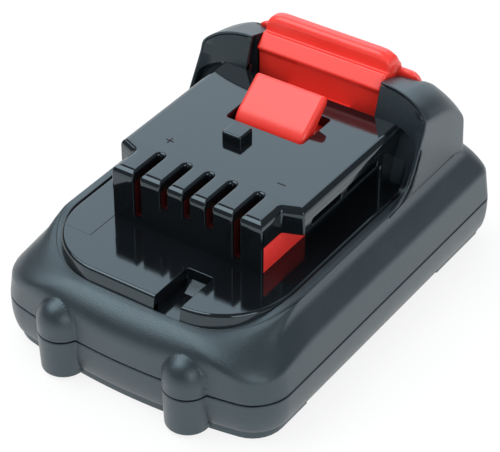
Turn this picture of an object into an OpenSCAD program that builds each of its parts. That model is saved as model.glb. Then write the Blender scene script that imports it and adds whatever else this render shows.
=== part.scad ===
// Slide-on battery pack for a cordless tool: three cells in series, a raised
// rail tower with five terminal slots, and a sprung release latch at the rear.
// Millimetres, +Z up, +Y towards the latch, origin under the middle of the pack.

/* [Cells] */
// Diameter of a cell with its sleeve
cell_d = 18.4; // [17.6:0.1:19.2]
// Length of a cell over its button
cell_l = 65.2; // [62:0.1:70]
// Gap between neighbouring cells
cell_gap = 0.4; // [0.3:0.1:0.8]
// Thickness of a cell's sleeve
sleeve_t = 0.25; // [0.15:0.05:0.4]
// Height of a cell's positive button
button_cap_h = 0.9; // [0.7:0.1:1.2]
// Diameter of a cell's positive button
button_cap_d = 8; // [6:0.5:10]
// Depth of the groove near a cell's positive end
groove = 0.8; // [0.5:0.1:1]
// Distance of that groove from the cell's shoulder
groove_back = 3; // [2:0.1:4]
// Thickness of the insulating rings
ring_t = 0.5; // [0.3:0.1:0.6]
// Depth of the plastic frames along the cells
frame_depth = 8; // [6:0.5:12]
// Thickness of the frames' end plates
frame_plate_t = 1.3; // [1:0.1:1.6]
// Height of the frames
frame_h = 14.6; // [12:0.2:15.6]
// Diameter of the frames' fingers between the cells
finger_d = 3.8; // [3.6:0.1:4.2]
// Room past the cell ends for the links and frames
frame_room = 2; // [1.9:0.1:2.4]
// Thickness of the nickel links
link_t = 0.4; // [0.3:0.05:0.5]
// Height of the nickel links
link_h = 8; // [6:0.5:8]
// Diameter of the leads
lead_d = 1.8; // [1.2:0.1:2]
// How far the leads reach in under the board
lead_reach = 5; // [3:0.5:7]
// Length of the foam strips
foam_l = 40; // [30:1:50]
// Height of the foam strips
foam_h = 5; // [4:0.5:6]
// Clearance of the foam strips from the walls
foam_clear = 0.4; // [0.35:0.05:0.8]

/* [Housing] */
// Wall thickness of both housings
wall = 2.2; // [2:0.1:2.4]
// Thickness of the base
base_t = 1.6; // [1.2:0.1:2.4]
// Height of the moulded feet
foot_h = 1.2; // [0.8:0.1:2]
// Length of each foot along the pack
foot_l = 18; // [14:1:22]
// Inset of the feet from the outline
foot_in = 1.9; // [1.8:0.1:4]
// Height of the parting line
split_z = 9.9; // [9:0.1:11]
// Room beside the outer cells
side_room = 3.05; // [2.6:0.05:4]
// Room between the front wall and the cells
front_room = 6.9; // [6.4:0.1:9]
// Room between the cells and the rear wall
rear_room = 13.25; // [12.5:0.25:16]
// Radius of the bowed front
bow_r = 130; // [110:5:200]
// Corner radius at the front
front_corner_r = 8.75; // [6:0.25:10]
// Corner radius at the rear
rear_corner_r = 3.5; // [3:0.25:5]
// How far the underside is drawn in
under_in = 1.6; // [1.3:0.1:1.7]
// Height of the lower edge of the walls over the underside
hem_h = 1.1; // [0.8:0.1:1.6]
// How far the lower edge of the walls is drawn in
hem_in = 0.95; // [0.6:0.05:1.3]
// Height of the belt where the sides start to lean in
belt_z = 16.8; // [15.5:0.1:17.5]
// How far the sides lean in at the belt
belt_in = 0.95; // [0.5:0.05:1.4]
// Height where the front starts to lean in
shoulder_z = 13; // [11:0.1:14]
// How far the sides lean in at the crown
crown_in = 4.5; // [4:0.1:5]
// Drop of the crown below the deck
crown_drop = 2; // [1.6:0.1:2.4]
// Drop of the front rim below the deck
front_rim_drop = 2.9; // [2.4:0.1:3]
// Drop of the side rims below the deck
rim_drop = 0; // [0:0.1:0.8]
// Width of the rims beside the deck
rim_lip = 1.9; // [1.4:0.1:2]
// Width of the rim before the deck, and of the edge round the bulkheads
front_lip = 1; // [0.8:0.1:1.2]
// Width of the ledge that carries the deck
ledge_w = 1.5; // [1.2:0.1:1.8]
// Thickness of that ledge
ledge_t = 1.5; // [1.2:0.1:2]
// Room round the front screw posts in the alignment lip
lip_relief = 0.5; // [0.4:0.1:0.8]
// Height of the alignment lip at the parting line
lip_h = 1.4; // [1:0.1:2]
// Thickness of the alignment lip
lip_t = 0.9; // [0.8:0.05:1]

/* [Screws] */
// Diameter of the front screw posts
post_d = 10.1; // [9:0.1:11]
// Distance between the front screw posts
post_pitch = 30.5; // [28:0.5:33]
// How far the posts stand in front of the wall
post_out = 2.75; // [2:0.25:3.5]
// Draft of the posts below the parting line
post_draft = 0.4; // [0.2:0.1:0.6]
// Straight height of the posts over the parting line
dome_base = 2.6; // [2:0.1:3.5]
// Distance between the rear screws
rear_screw_pitch = 51; // [49:0.5:52]
// Distance of the rear screws from the rear face
rear_screw_in = 7.4; // [7:0.1:8]
// Diameter of the rear screw bosses
boss_d = 6.8; // [6.2:0.1:7.4]
// Shank diameter of the screws
screw_d = 2.5; // [2.2:0.1:2.8]
// Head diameter of the screws
screw_head_d = 4.8; // [4.2:0.1:5]
// Head height of the screws
screw_head_h = 1.8; // [1.4:0.1:2.2]
// Width of the recess in the screw heads
recess_w = 0.9; // [0.7:0.1:1.1]
// Length of the recess in the screw heads
recess_l = 2.9; // [2.4:0.1:3.2]
// Depth of the screw heads in the base
screw_sink = 3.6; // [3:0.1:4.4]
// Length of the screws under the head
screw_l = 9; // [8:0.5:10]

/* [Deck and rail] */
// Thickness of the deck
deck_t = 2.4; // [2:0.1:2.8]
// Width of the deck
deck_w = 52.2; // [51:0.2:53]
// Setback of the deck from the front wall
deck_setback = 6.6; // [6.2:0.1:7.5]
// Front corner radius of the deck
deck_corner_r = 15; // [12:0.5:16]
// Radius of the deck's bowed front
deck_bow_r = 520; // [400:10:800]
// Rear corner radius of the deck
deck_rear_r = 1; // [0.5:0.1:1.5]
// Length of the skirt under the deck's front edge
skirt_l = 2; // [1.4:0.1:2.2]
// Setback of the tower from the front wall
tower_setback = 23.56; // [22:0.02:25]
// Height of the tower over the deck
tower_h = 11.9; // [11.4:0.1:13]
// Width of the tower between the rail channels
tower_w = 36; // [35:0.5:37]
// Width over the two rails
rail_w = 44.4; // [43:0.2:46]
// Length of the tower's top plate
rail_l = 44.34; // [44:0.02:45]
// Depth of the rail edges
rail_t = 5.9; // [5:0.1:6.4]
// Thickness of the top plate
plate_t = 2.3; // [2:0.1:2.6]
// Thickness of the tower walls
tower_wall = 1.8; // [1.6:0.1:2]
// Thickness of the tower's front wall
front_wall = 0.8; // [0.6:0.1:1.2]
// Length of the narrow nose of the tower
nose_l = 6.85; // [5:0.05:8]
// Length of the taper from nose to rail
nose_taper_l = 1.7; // [1:0.1:3]
// Length of the wide foot of the tower at the rear
heel_l = 7.4; // [6:0.1:9]
// Width of a terminal slot
slot_w = 1.7; // [1.4:0.1:2]
// Length of the terminal slots
slot_l = 8.86; // [8:0.02:9.5]
// Pitch of the three inner slots
slot_pitch = 5.455; // [5:0.005:5.6]
// Distance of the outer slots from the middle
outer_slot_x = 11.952; // [11.6:0.002:12.6]
// Depth of the inner slots below the plate
inner_slot_depth = 6.05; // [5:0.05:7]
// Depth of the outer slots below the plate
outer_slot_depth = 10.5; // [9.5:0.05:11]
// Left edge of the keyway in the deck
keyway_x = 4.65; // [3:0.05:6]
// Width of the keyway
keyway_w = 6.1; // [5:0.1:7]
// Length of the keyway
keyway_l = 11.4; // [9:0.1:13]
// Depth of the keyway
keyway_depth = 3; // [2.6:0.1:3.1]
// Thickness of the tub under the keyway
tub_t = 0.6; // [0.5:0.05:0.8]
// Width of the key block on the plate
key_w = 4.1; // [3:0.1:5]
// Length of the key block
key_l = 3.9; // [3:0.1:5]
// Height of the key block
key_h = 2.9; // [2:0.1:3.5]
// Distance of the key block's middle left of the centre line
key_x = 3.05; // [2.5:0.05:4]
// Distance of the key block behind the tower front
key_back = 19.6; // [16:0.1:21]
// Height of the pockets in the rail edges
pocket_h = 1.5; // [1:0.1:2]
// Depth of the pockets in the rail edges
pocket_depth = 3; // [2:0.1:3.6]
// Thickness of the lip under the pockets
pocket_lip = 0.9; // [0.8:0.1:1.4]
// Width of the rib before each pocket
pocket_rib = 2.2; // [1.6:0.1:3]

/* [Rear posts] */
// Half the gap between the two rear posts
post_in = 15.9; // [15.5:0.1:16.4]
// Lean of the posts' front faces, sideways over height
front_lean = 0.31; // [0.25:0.01:0.36]
// Height of the posts over the top plate
post_h = 7.1; // [6:0.1:8]
// Outer half width of the posts at the top
post_top_x = 27.8; // [27.4:0.1:28.2]
// Angle of the outer top edges on the posts' crown
post_edge_angle = 20; // [15:1:25]
// Depth of the curved rear of the posts
post_rear_l = 15.6; // [15:0.1:16.2]
// How far the wings reach in front of the top plate's rear edge
wing_l = 8.1; // [7:0.1:9]
// Height of the wings' flare over the deck
wing_flare = 2.4; // [1.8:0.1:3]
// Run of the wings' flare
wing_run = 2.6; // [2:0.1:3]
// Run of the wings' toes below the deck
wing_toe = 1; // [0.6:0.1:1.4]
// How far the posts' flanks flare out at the deck
flank_out = 0.9; // [0.6:0.1:1.1]
// How far the bulkheads' feet stand in front of the plate's rear edge
bulkhead_foot = 5.1; // [4.5:0.1:5.6]
// Slope of the post tops towards the rear, in degrees
post_slope = 16; // [12:1:18]
// Fullness of the curved rear of the posts, 2 for an ellipse
post_full = 2.3; // [2:0.1:2.6]
// Half the gap behind the posts, for the wide end of the button
pad_well_x = 20.4; // [20:0.1:20.8]
// Setback of the wide end of the button
pad_setback = 8; // [7.5:0.1:8.5]
// Drop of the rear lip below the top plate
pad_lip_drop = 4.6; // [4:0.1:5]
// Thickness of the floor under the latch springs
well_floor_t = 2.6; // [2:0.1:3]

/* [Latch] */
// Travel of the latch
latch_travel = 4.5; // [3:0.1:4.8]
// Width of the locking tongue
tongue_w = 17.2; // [15:0.1:18]
// Length of the locking tongue
tongue_l = 9.8; // [9:0.1:10.4]
// Height of the tongue's rear edge over the plate
tongue_h = 5.9; // [5:0.1:6.5]
// Height of the tongue's front edge over the plate
tongue_nose_h = 0.9; // [0.6:0.1:1.5]
// Thickness of the tongue's rear edge
flap_t = 1.5; // [1:0.1:2]
// Length of the tongue's stem in the plate
stem_l = 5.6; // [5:0.1:7]
// Radius of the tongue's nose
nose_r = 3; // [2:0.1:3.5]
// Drop of the nose's middle below the tongue's front edge
nose_drop = 2.1; // [1.4:0.1:2.4]
// Distance of the tongue's rear edge from the plate's rear edge
tongue_back = 6.6; // [6:0.1:7.2]
// Gap round the tongue in the plate
tongue_gap = 0.6; // [0.4:0.1:0.9]
// Thickness of the web under the plate
web_t = 2.5; // [2:0.1:3]
// Width of the web
web_w = 16; // [12:0.5:18]
// Setback of the button panel behind the plate
panel_back = 3.9; // [3.4:0.1:4.4]
// Height of the button over the top plate
button_h = 10.8; // [9.6:0.1:12]
// Height of the button's front lip over the top plate
button_lip_h = 4.25; // [3.8:0.05:5]
// Overhang of the button's front lip
button_lip_out = 1; // [0.6:0.1:1.4]
// Run of the sloping lip
lip_run = 2.3; // [2:0.1:2.6]
// Rise of the sloping lip
lip_rise = 3.1; // [2.6:0.1:3.4]
// Radius of the button's ridge
ridge_r = 2.4; // [2:0.1:2.6]
// Setback of the ridge behind the panel
ridge_back = 4.6; // [4.4:0.1:5]
// Radius of the ends of the button's ridge
ridge_end_r = 4; // [3:0.1:5]
// Run of the button's back to the wide end
back_run = 1; // [0.6:0.1:1.4]
// Height of the button's rear edge over the rear lip
back_foot = 3; // [2:0.1:4]
// Drop of the button's wide end below the post tops
pad_drop = 0.4; // [0.2:0.1:1]
// Radius of the wide end's corners
pad_corner_r = 3; // [2:0.1:4]
// Wall thickness of the button
button_wall = 2; // [1.6:0.1:2.2]
// Side gap of the button
button_gap = 0.6; // [0.4:0.1:0.8]
// Wire thickness of the latch springs
spring_wire = 0.7; // [0.5:0.05:0.8]
// Mean diameter of the latch springs
spring_d = 5; // [4.4:0.1:5.6]
// Turns of each latch spring
spring_turns = 6; // [5:1:6]
// Distance between the two springs
spring_pitch = 19; // [17:0.5:21]
// Height of the pegs inside the springs
peg_h = 2.5; // [1.5:0.1:3]
// Height of the button's body under the plate level
button_sink = 6.4; // [5.4:0.1:6.6]
// Depth of the spring sockets in the button
spring_socket = 6; // [5:0.1:7]

/* [Terminals and board] */
// Thickness of the circuit board
board_t = 1.6; // [1.2:0.1:1.8]
// Width of the circuit board
board_w = 30.8; // [29:0.2:31.4]
// Length of the circuit board
board_l = 31.6; // [29:0.2:33]
// Setback of the board behind the tower's front wall
board_setback = 0.4; // [0.2:0.1:0.6]
// Width of the ledge over the board
board_ledge = 1; // [0.8:0.1:1.2]
// Length of the terminal block
block_l = 14.7; // [13.5:0.1:15.5]
// Thickness of the contact strip
contact_t = 0.6; // [0.5:0.05:0.7]
// Gap between a contact's two leaves
contact_gap = 0.8; // [0.6:0.05:1]
// Length of the contacts
contact_l = 9; // [8:0.1:9.4]
// Setback of the contacts in the block
contact_setback = 2.6; // [2.5:0.1:3]
// Drop of the contacts below the tower's roof
contact_drop = 1.5; // [1:0.1:2]
// Height of the contacts' closed base
contact_base = 1.2; // [1:0.1:2]
// Size of the controller chip
chip_size = [7, 7, 1.2]; // [0.8:0.1:8]
// Size of each power transistor
mosfet_size = [6, 5, 1.8]; // [1:0.1:7]
// Size of the current shunt
shunt_size = [6.4, 3.2, 1]; // [0.6:0.1:7]
// Size of the fuse
fuse_size = [5, 2.6, 1.4]; // [1:0.1:6]
// Size of a capacitor
capacitor_size = [1.3, 2, 0.9]; // [0.6:0.1:2.4]
// Capacitors in the row
capacitor_n = 3; // [1:1:3]
// Gap between the components on the board
part_gap = 1.3; // [1:0.1:1.6]
// Diameter of the thermistor bead
bead_d = 2.4; // [2:0.1:2.6]
// Diameter of the thermistor legs
leg_d = 0.6; // [0.4:0.1:0.8]

/* [Clearances] */
// Clearance above and below the cells
cell_clear = 0.15; // [0.1:0.05:0.3]
// Clearance round a seated moulding
seat_gap = 0.15; // [0.1:0.05:0.2]
// Clearance of the latch in its guides
latch_gap = 0.3; // [0.25:0.05:0.5]
// Clearance round the screws
screw_gap = 0.4; // [0.3:0.1:0.6]
// Clearance of the inner pieces from each other
inner_gap = 0.05; // [0.02:0.01:0.1]

/* [Hidden] */
$fn = 48;

// Small overlap that keeps joined and cut shapes clean
eps = 0.05;
// Least radius of a corner that is drawn in
least_r = 1;
// Pieces in the bowed front, a front corner, a rear corner and other curves
bow_n = 4;
corner_n = 7;
rear_n = 5;
curve_n = 6;
// Rings in each turn of a spring, and sides of its wire
turn_n = 8;
wire_n = 6;
// Angles at which the button's ridge starts and ends, and its rear pad starts
ridge_from = 165;
ridge_to = 45;
pad_from = 80;
// Reach of a cut that passes right through
far = 120;

// Widths
cell_count = 3;
cell_pitch = cell_d + cell_gap;
pack_w = cell_count * cell_d + (cell_count - 1) * cell_gap + 2 * (side_room + wall);
half_w = pack_w / 2;
rim_x = deck_w / 2 + seat_gap + rim_lip;

// Lengths
pack_l = post_out + wall + front_room + cell_l + rear_room + wall;
rear_y = pack_l / 2;
front_y = post_out - rear_y;
cell_front = front_y + wall + front_room;
cell_rear = cell_front + cell_l;
post_y = front_y - post_out + post_d / 2;
rear_screw_y = rear_y - rear_screw_in;
deck_front = front_y + deck_setback;
tower_front = front_y + tower_setback;
taper_end = tower_front + nose_l + nose_taper_l;
plate_rear = tower_front + rail_l;
heel_front = plate_rear - heel_l;

// Heights
floor_z = foot_h + base_t;
cell_z = floor_z + cell_clear + cell_d / 2;
deck_under = cell_z + cell_d / 2 + cell_clear;
deck_z = deck_under + deck_t;
plate_z = deck_z + tower_h;
roof_z = plate_z - plate_t;
rail_under = plate_z - rail_t;
crown_z = deck_z - crown_drop;
rim_z = deck_z - rim_drop;
front_rim_z = deck_z - front_rim_drop;
ledge_z = deck_under - ledge_t;
keyway_z = deck_z - keyway_depth;
well_z = plate_z - button_sink - latch_travel - latch_gap;
screw_tip = screw_sink + screw_l;

// Screw positions, front pair first
front_spots = [for (s = [-1, 1]) [s * post_pitch / 2, post_y]];
rear_spots = [for (s = [-1, 1]) [s * rear_screw_pitch / 2, rear_screw_y]];
screw_spots = concat(front_spots, rear_spots);

// Terminal slots from left to right: place across the pack and depth below the plate
slots = concat(
    [[-outer_slot_x, outer_slot_depth]],
    [for (i = [-1 : 1]) [i * slot_pitch, inner_slot_depth]],
    [[outer_slot_x, outer_slot_depth]]
);

// Rear posts and latch
turret_y = plate_rear + front_lean * post_h;
turret_rear = turret_y + post_rear_l;
turret_z = crown_z - wall;
well_rear = turret_rear - wall;
pad_front = turret_y + pad_setback;
pad_lip_z = plate_z - pad_lip_drop;
pad_top = plate_z + post_h - pad_drop;
tongue_rear = plate_rear - tongue_back;
tongue_front = tongue_rear - tongue_l;
web_top = roof_z - latch_gap;
panel_y = plate_rear + panel_back;
button_x = post_in - button_gap;
pad_x = pad_well_x - button_gap;
button_rear = well_rear - latch_gap;
button_z = plate_z - button_sink;
spring_y = (panel_y + button_rear) / 2;
spring_top = button_z + spring_socket;
socket_d = spring_d + 2 * spring_wire;

// Terminals, board and leads
block_front = tower_front + front_wall + inner_gap;
block_rear = block_front + block_l;
board_front = tower_front + tower_wall + board_setback;
board_top = deck_under + board_t;
contact_w = contact_gap + 2 * contact_t;
contact_front = block_front + contact_setback;
contact_top = roof_z - contact_drop;
can_r = cell_d / 2 - sleeve_t - inner_gap;
lead_x = cell_pitch / 2;
lead_z = cell_z + valley_rise(lead_d / 2);

// Colours
housing_colour = [0.20, 0.23, 0.26];
deck_colour = [0.08, 0.09, 0.10];
red = [0.88, 0.16, 0.13];
nickel = [0.75, 0.74, 0.70];

// Height over the cells' middle at which a round piece rests between two cells
function valley_rise(r) =
    sqrt(pow(cell_d / 2 + r + 2 * inner_gap, 2) - pow(cell_pitch / 2, 2));

// Points on an arc, with or without its last point
function arc(c, r, a0, a1, n, last = 1) =
    [
        for (i = [0 : n - 1 + last])
            let (a = a0 + (a1 - a0) * i / n)
                [c[0] + r * cos(a), c[1] + r * sin(a)]
    ];

// Points on an ellipse between two angles, fuller with a power over 2
function ellipse_arc(c, rx, ry, a0, a1, n, power = 2) =
    [
        for (i = [0 : n])
            let (a = a0 + (a1 - a0) * i / n)
                [c[0] + rx * pow(cos(a), 2 / power), c[1] + ry * pow(sin(a), 2 / power)]
    ];

function blend(a, b, t) = a + (b - a) * t;
function clamp01(t) = max(0, min(1, t));
function smooth(t) = let (u = clamp01(t)) u * u * (3 - 2 * u);
function lift(points, z) = [for (p = points) [p[0], p[1], z]];
function mirrored(points, skip = 0) =
    [for (i = [len(points) - 1 : -1 : skip]) [-points[i][0], points[i][1]]];

// Plan outline: bowed front, round corners, straight sides and rear
function plan(hw, yf, rb, rc, yr, rr) =
    let (
        cx = hw - rc,
        cy = yf + rb - sqrt(pow(rb - rc, 2) - cx * cx),
        turn = atan2(cy - yf - rb, cx),
        half = concat(
            arc([0, yf + rb], rb, -90, turn, bow_n, 0),
            arc([cx, cy], rc, turn, 0, corner_n),
            arc([hw - rr, yr - rr], rr, 0, 90, rear_n)
        )
    )
    concat(half, mirrored(half, 1));

// The housing's outline at the parting line, drawn in by d
function outline(d) =
    plan(
        half_w - d, front_y + d, bow_r - d, max(least_r, front_corner_r - d),
        rear_y - d, max(least_r, rear_corner_r - d)
    );

// The deck's outline, grown by d
function deck_outline(d) =
    plan(deck_w / 2 + d, deck_front - d, deck_bow_r, deck_corner_r + d, plate_rear + d, deck_rear_r);

// Closed skin over a stack of rings with equal point counts
module loft(rings) {
    n = len(rings[0]);
    m = len(rings);
    sides = [
        for (k = [0 : m - 2], j = [0 : n - 1])
            let (a = k * n + j, b = k * n + (j + 1) % n)
                each [[a, a + n, b + n], [a, b + n, b]]
    ];
    polyhedron(
        points = [for (r = rings) each r],
        faces = concat(
            [[for (j = [0 : n - 1]) j]],
            sides,
            [[for (j = [n - 1 : -1 : 0]) (m - 1) * n + j]]
        )
    );
}

// Profile in the Y-Z plane pushed along X between two places
module along_x(x0, x1) {
    translate([x0, 0, 0])
        rotate([90, 0, 90])
            linear_extrude(x1 - x0)
                children();
}

// Profile in the X-Z plane pushed along Y between two places
module along_y(y0, y1) {
    translate([0, y1, 0])
        rotate([90, 0, 0])
            linear_extrude(y1 - y0)
                children();
}

module box(low, high) {
    translate(low)
        cube(high - low);
}

module both_sides() {
    children();
    mirror([1, 0, 0])
        children();
}

module at_spots(spots, z = 0) {
    for (s = spots)
        translate([s[0], s[1], z])
            children();
}

// Round bars along the cells
module cell_bars(r, y0, y1) {
    for (i = [-1 : 1])
        translate([i * cell_pitch, y0, cell_z])
            rotate([-90, 0, 0])
                cylinder(r = r, h = y1 - y0);
}

// Ring that centres the two housings on each other, grown outwards and inwards
module alignment_ring(grow, over, z0, z1) {
    translate([0, 0, z0])
        linear_extrude(z1 - z0)
            difference() {
                polygon(outline(wall - lip_t - grow));
                polygon(outline(wall + over));
                for (s = front_spots)
                    translate(s)
                        circle(d = post_d + 2 * lip_relief - 2 * grow);
            }
}

// Lower housing: heights against how far the walls are drawn in, from the underside up
hem_z = foot_h + hem_h;
hem_rows = [0, 0.2, 0.5, 1];
function hem_step(low, high, t) = [blend(low, high, t), hem_in * pow(1 - t, 3)];
under_steps = concat(
    [[foot_h, under_in], [hem_z - eps, under_in]],
    [for (t = hem_rows) hem_step(hem_z, split_z, t)]
);
hollow_steps = [for (t = hem_rows) hem_step(floor_z, split_z + eps, t)];

module tray() {
    difference() {
        loft([for (s = under_steps) lift(outline(s[1]), s[0])]);
        loft([for (s = hollow_steps) lift(outline(wall + s[1]), s[0])]);
    }
}

module feet() {
    linear_extrude(foot_h + eps)
        intersection() {
            polygon(outline(foot_in));
            for (y = [front_y, rear_y - foot_in - foot_l])
                translate([-half_w, y])
                    square([pack_w, foot_l + foot_in]);
        }
}

module lower_housing() {
    color(housing_colour)
        difference() {
            union() {
                tray();
                feet();
                at_spots(front_spots, foot_h / 2)
                    cylinder(d1 = post_d - 2 * post_draft, d2 = post_d, h = split_z - foot_h / 2);
                at_spots(rear_spots, foot_h)
                    cylinder(d = boss_d, h = split_z - foot_h);
                alignment_ring(0, 0, split_z - lip_h, split_z + lip_h);
            }
            at_spots(screw_spots, -eps) {
                cylinder(d = screw_d + screw_gap, h = far);
                cylinder(d = screw_head_d + screw_gap, h = screw_sink + eps);
            }
        }
}

// Upper housing: how far its sides and front lean in at a height
front_in_full = deck_setback - seat_gap - front_lip;

function side_in(z) =
    lookup(z, [[split_z, 0], [belt_z, belt_in], [crown_z, crown_in], [rim_z, half_w - rim_x]]);
function front_in(z) =
    let (t = clamp01((z - shoulder_z) / (front_rim_z - shoulder_z)))
        front_in_full * (1 - sqrt(1 - t * t));

// Outline of the shoulder at the heights of its sides and front, drawn in by d
function shoulder_plan(zs, zf, d) =
    let (
        fi = front_in(zf),
        share = fi / front_in_full,
        rear_in = share * (rear_y - turret_rear)
    )
    plan(
        half_w - side_in(zs) - d, front_y + fi + d, blend(bow_r, deck_bow_r, share) - d,
        blend(front_corner_r, deck_corner_r + front_lip, share) - d,
        rear_y - rear_in - d, rear_corner_r - d
    );

// Ring of the shoulder at share t of its height, lower at the front than at the sides
function shoulder_ring(t, d) =
    let (zs = blend(split_z, rim_z, t), zf = blend(split_z, front_rim_z, t))
        [for (p = shoulder_plan(zs, zf, d))
            [p[0], p[1], blend(zf, zs, smooth((p[1] - deck_front) / deck_corner_r))]];

shoulder_steps = [0, 0.27, 0.51, 0.7, 0.84, 0.94, 1];
shoulder_hollow_z = [split_z - eps, belt_z, ledge_z];

module shoulder() {
    loft(concat(
        [for (t = shoulder_steps) shoulder_ring(t, 0)],
        [shoulder_ring(1, rim_lip + ledge_w)],
        [lift(shoulder_ring(1, rim_lip + ledge_w), deck_under + seat_gap)]
    ));
}

module shoulder_hollow() {
    difference() {
        loft([for (z = shoulder_hollow_z) lift(shoulder_plan(z, z, wall), z)]);
        at_spots(screw_spots)
            cylinder(d = boss_d, h = far);
    }
}

// Side view of the posts from a base height, drawn in by d
module turret_side(base, d) {
    offset(delta = -d)
        polygon(concat(
            [
                [plate_rear - wing_l - wing_toe, base],
                [plate_rear - wing_l - wing_toe, crown_z],
                [plate_rear - wing_l, deck_z],
                [plate_rear - wing_l + wing_run, deck_z + wing_flare],
                [plate_rear, plate_z]
            ],
            ellipse_arc(
                [turret_y, turret_z], post_rear_l, plate_z + post_h - turret_z,
                90, 0, 2 * curve_n, post_full
            ),
            [[turret_rear, base]]
        ));
}

// Front view of the posts about the plate's height, drawn in by d
module turret_front(d) {
    half = concat(
        [[post_top_x + flank_out, -far / 2], [post_top_x + flank_out, deck_z - plate_z]],
        ellipse_arc(
            [post_in, 0], (post_top_x - post_in) / cos(post_edge_angle), post_h,
            post_edge_angle, 90, curve_n
        )
    );
    offset(delta = -d)
        polygon(concat(half, mirrored(half)));
}

module turret_front_prism(d) {
    translate([0, turret_y, plate_z])
        rotate([-post_slope, 0, 0])
            along_y(-far / 2, far / 2)
                turret_front(d);
}

module turret(base, d) {
    intersection() {
        along_x(-half_w, half_w)
            turret_side(base, d);
        turret_front_prism(d);
    }
}

// Space between and behind the posts where the button travels
module latch_well() {
    box([-post_in, plate_rear - wing_l - 2 * wing_toe, well_z], [post_in, well_rear, far]);
    box([-pad_well_x, pad_front - latch_gap, well_z], [pad_well_x, well_rear, far]);
    box([-pad_well_x, pad_front - latch_gap, pad_lip_z], [pad_well_x, far, far]);
    box([-pad_well_x, plate_rear + wall, ledge_z - eps], [pad_well_x, well_rear, well_z - well_floor_t]);
}

// Hollow of the two posts
module post_hollow() {
    intersection() {
        turret(ledge_z - wall - eps, wall);
        both_sides() {
            box([post_in + wall, 0, 0], [far, pad_front - latch_gap - wall, far]);
            box([pad_well_x + wall, 0, 0], [far, far, far]);
        }
    }
}

// Front of the slab between the channels and the posts
function bulkhead_y(z) =
    z < roof_z
        ? blend(
            plate_rear - bulkhead_foot, plate_rear - front_lean * plate_t,
            (z - deck_z) / (roof_z - deck_z)
        )
        : plate_rear + front_lean * (z - plate_z);

// That slab, or with a gap the room that it needs in the posts, open ahead
module bulkhead(gap, ahead) {
    top = plate_z + post_h;
    stations = [[deck_z, deck_under - gap], [roof_z, roof_z], [top, top]];
    front = [for (s = stations) [bulkhead_y(s[0]) - ahead, s[1]]];
    back = [for (i = [2 : -1 : 0]) [bulkhead_y(stations[i][0]) + tower_wall + gap, stations[i][1]]];
    intersection() {
        along_x(-half_w, half_w)
            polygon(concat(front, back));
        turret_front_prism(front_lip - gap);
        both_sides()
            box([post_in - gap, 0, 0], [deck_w / 2 + gap, far, far]);
    }
}

module spring_spots(z) {
    for (s = [-1, 1])
        translate([s * spring_pitch / 2, spring_y, z])
            children();
}

// Skirt under the deck's front edge from a height, grown by a gap for the room that it needs
module deck_skirt(low, gap) {
    translate([0, 0, low])
        linear_extrude(deck_under + eps - low)
            intersection() {
                polygon(deck_outline(gap));
                translate([-half_w, front_y])
                    square([pack_w, deck_setback + skirt_l + gap]);
            }
}

// Tub under the keyway from a height, grown by a gap for the room that it needs
module keyway_tub(low, gap) {
    reach = tub_t + gap;
    intersection() {
        translate([0, 0, low])
            linear_extrude(deck_under + eps - low)
                polygon(deck_outline(gap));
        box(
            [keyway_x - reach, front_y, 0],
            [keyway_x + keyway_w + reach, deck_front + keyway_l + reach, far]
        );
    }
}

module upper_housing() {
    color(housing_colour) {
        difference() {
            union() {
                shoulder();
                turret(turret_z, 0);
                at_spots(front_spots, split_z) {
                    cylinder(d = post_d, h = dome_base);
                    intersection() {
                        translate([0, 0, dome_base])
                            sphere(d = post_d);
                        cylinder(d = post_d + 2 * eps, h = dome_base + post_d);
                    }
                }
            }
            shoulder_hollow();
            alignment_ring(seat_gap, lip_t, split_z - eps, split_z + lip_h + seat_gap);
            translate([0, 0, split_z])
                linear_extrude(far)
                    polygon(deck_outline(-ledge_w));
            translate([0, 0, deck_under])
                linear_extrude(plate_z - deck_under)
                    polygon(deck_outline(seat_gap));
            deck_skirt(front_rim_z + eps, seat_gap);
            keyway_tub(ledge_z - eps, seat_gap);
            cell_bars(cell_d / 2 + cell_clear + 2 * eps, cell_front - frame_room, cell_rear + frame_room);
            latch_well();
            post_hollow();
            bulkhead(seat_gap, front_lip);
            at_spots(screw_spots, split_z - eps)
                cylinder(d = screw_d + 2 * inner_gap, h = screw_tip + screw_gap - split_z + eps);
        }
        spring_spots(well_z - eps)
            cylinder(d = spring_d - spring_wire - 2 * latch_gap, h = peg_h + eps);
    }
}

// Rail deck: the gloss moulding with the deck, the tower, its rails and the bulkheads
module tower_plan() {
    half = [
        [tower_w / 2, tower_front],
        [tower_w / 2, tower_front + nose_l],
        [rail_w / 2, taper_end],
        [rail_w / 2, plate_rear]
    ];
    polygon(concat(half, mirrored(half)));
}

module tower_walls() {
    low = deck_z - eps;
    high = rail_under + eps;
    inner = tower_w / 2 - tower_wall;
    box([-tower_w / 2, tower_front, low], [tower_w / 2, tower_front + front_wall, high]);
    both_sides() {
        box([inner, block_rear + inner_gap, low], [tower_w / 2, plate_rear, high]);
        box([inner, heel_front, low], [rail_w / 2, plate_rear, high]);
    }
}

module terminal_slots(y0, z_top) {
    slot_end = tower_front + slot_l - slot_w / 2;
    for (s = slots)
        translate([s[0], 0, 0]) {
            box([-slot_w / 2, y0, plate_z - s[1]], [slot_w / 2, slot_end, z_top]);
            translate([0, slot_end, plate_z - s[1]])
                cylinder(d = slot_w, h = z_top - plate_z + s[1]);
        }
}

// Two pockets in the edge of each rail
module rail_pockets() {
    pitch = (heel_front - taper_end) / 2;
    both_sides()
        for (i = [0, 1])
            translate([rail_w / 2 - pocket_depth, taper_end + i * pitch, rail_under + pocket_lip])
                translate([0, pocket_rib, 0])
                    cube([pocket_depth + eps, pitch - pocket_rib, pocket_h]);
}

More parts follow.
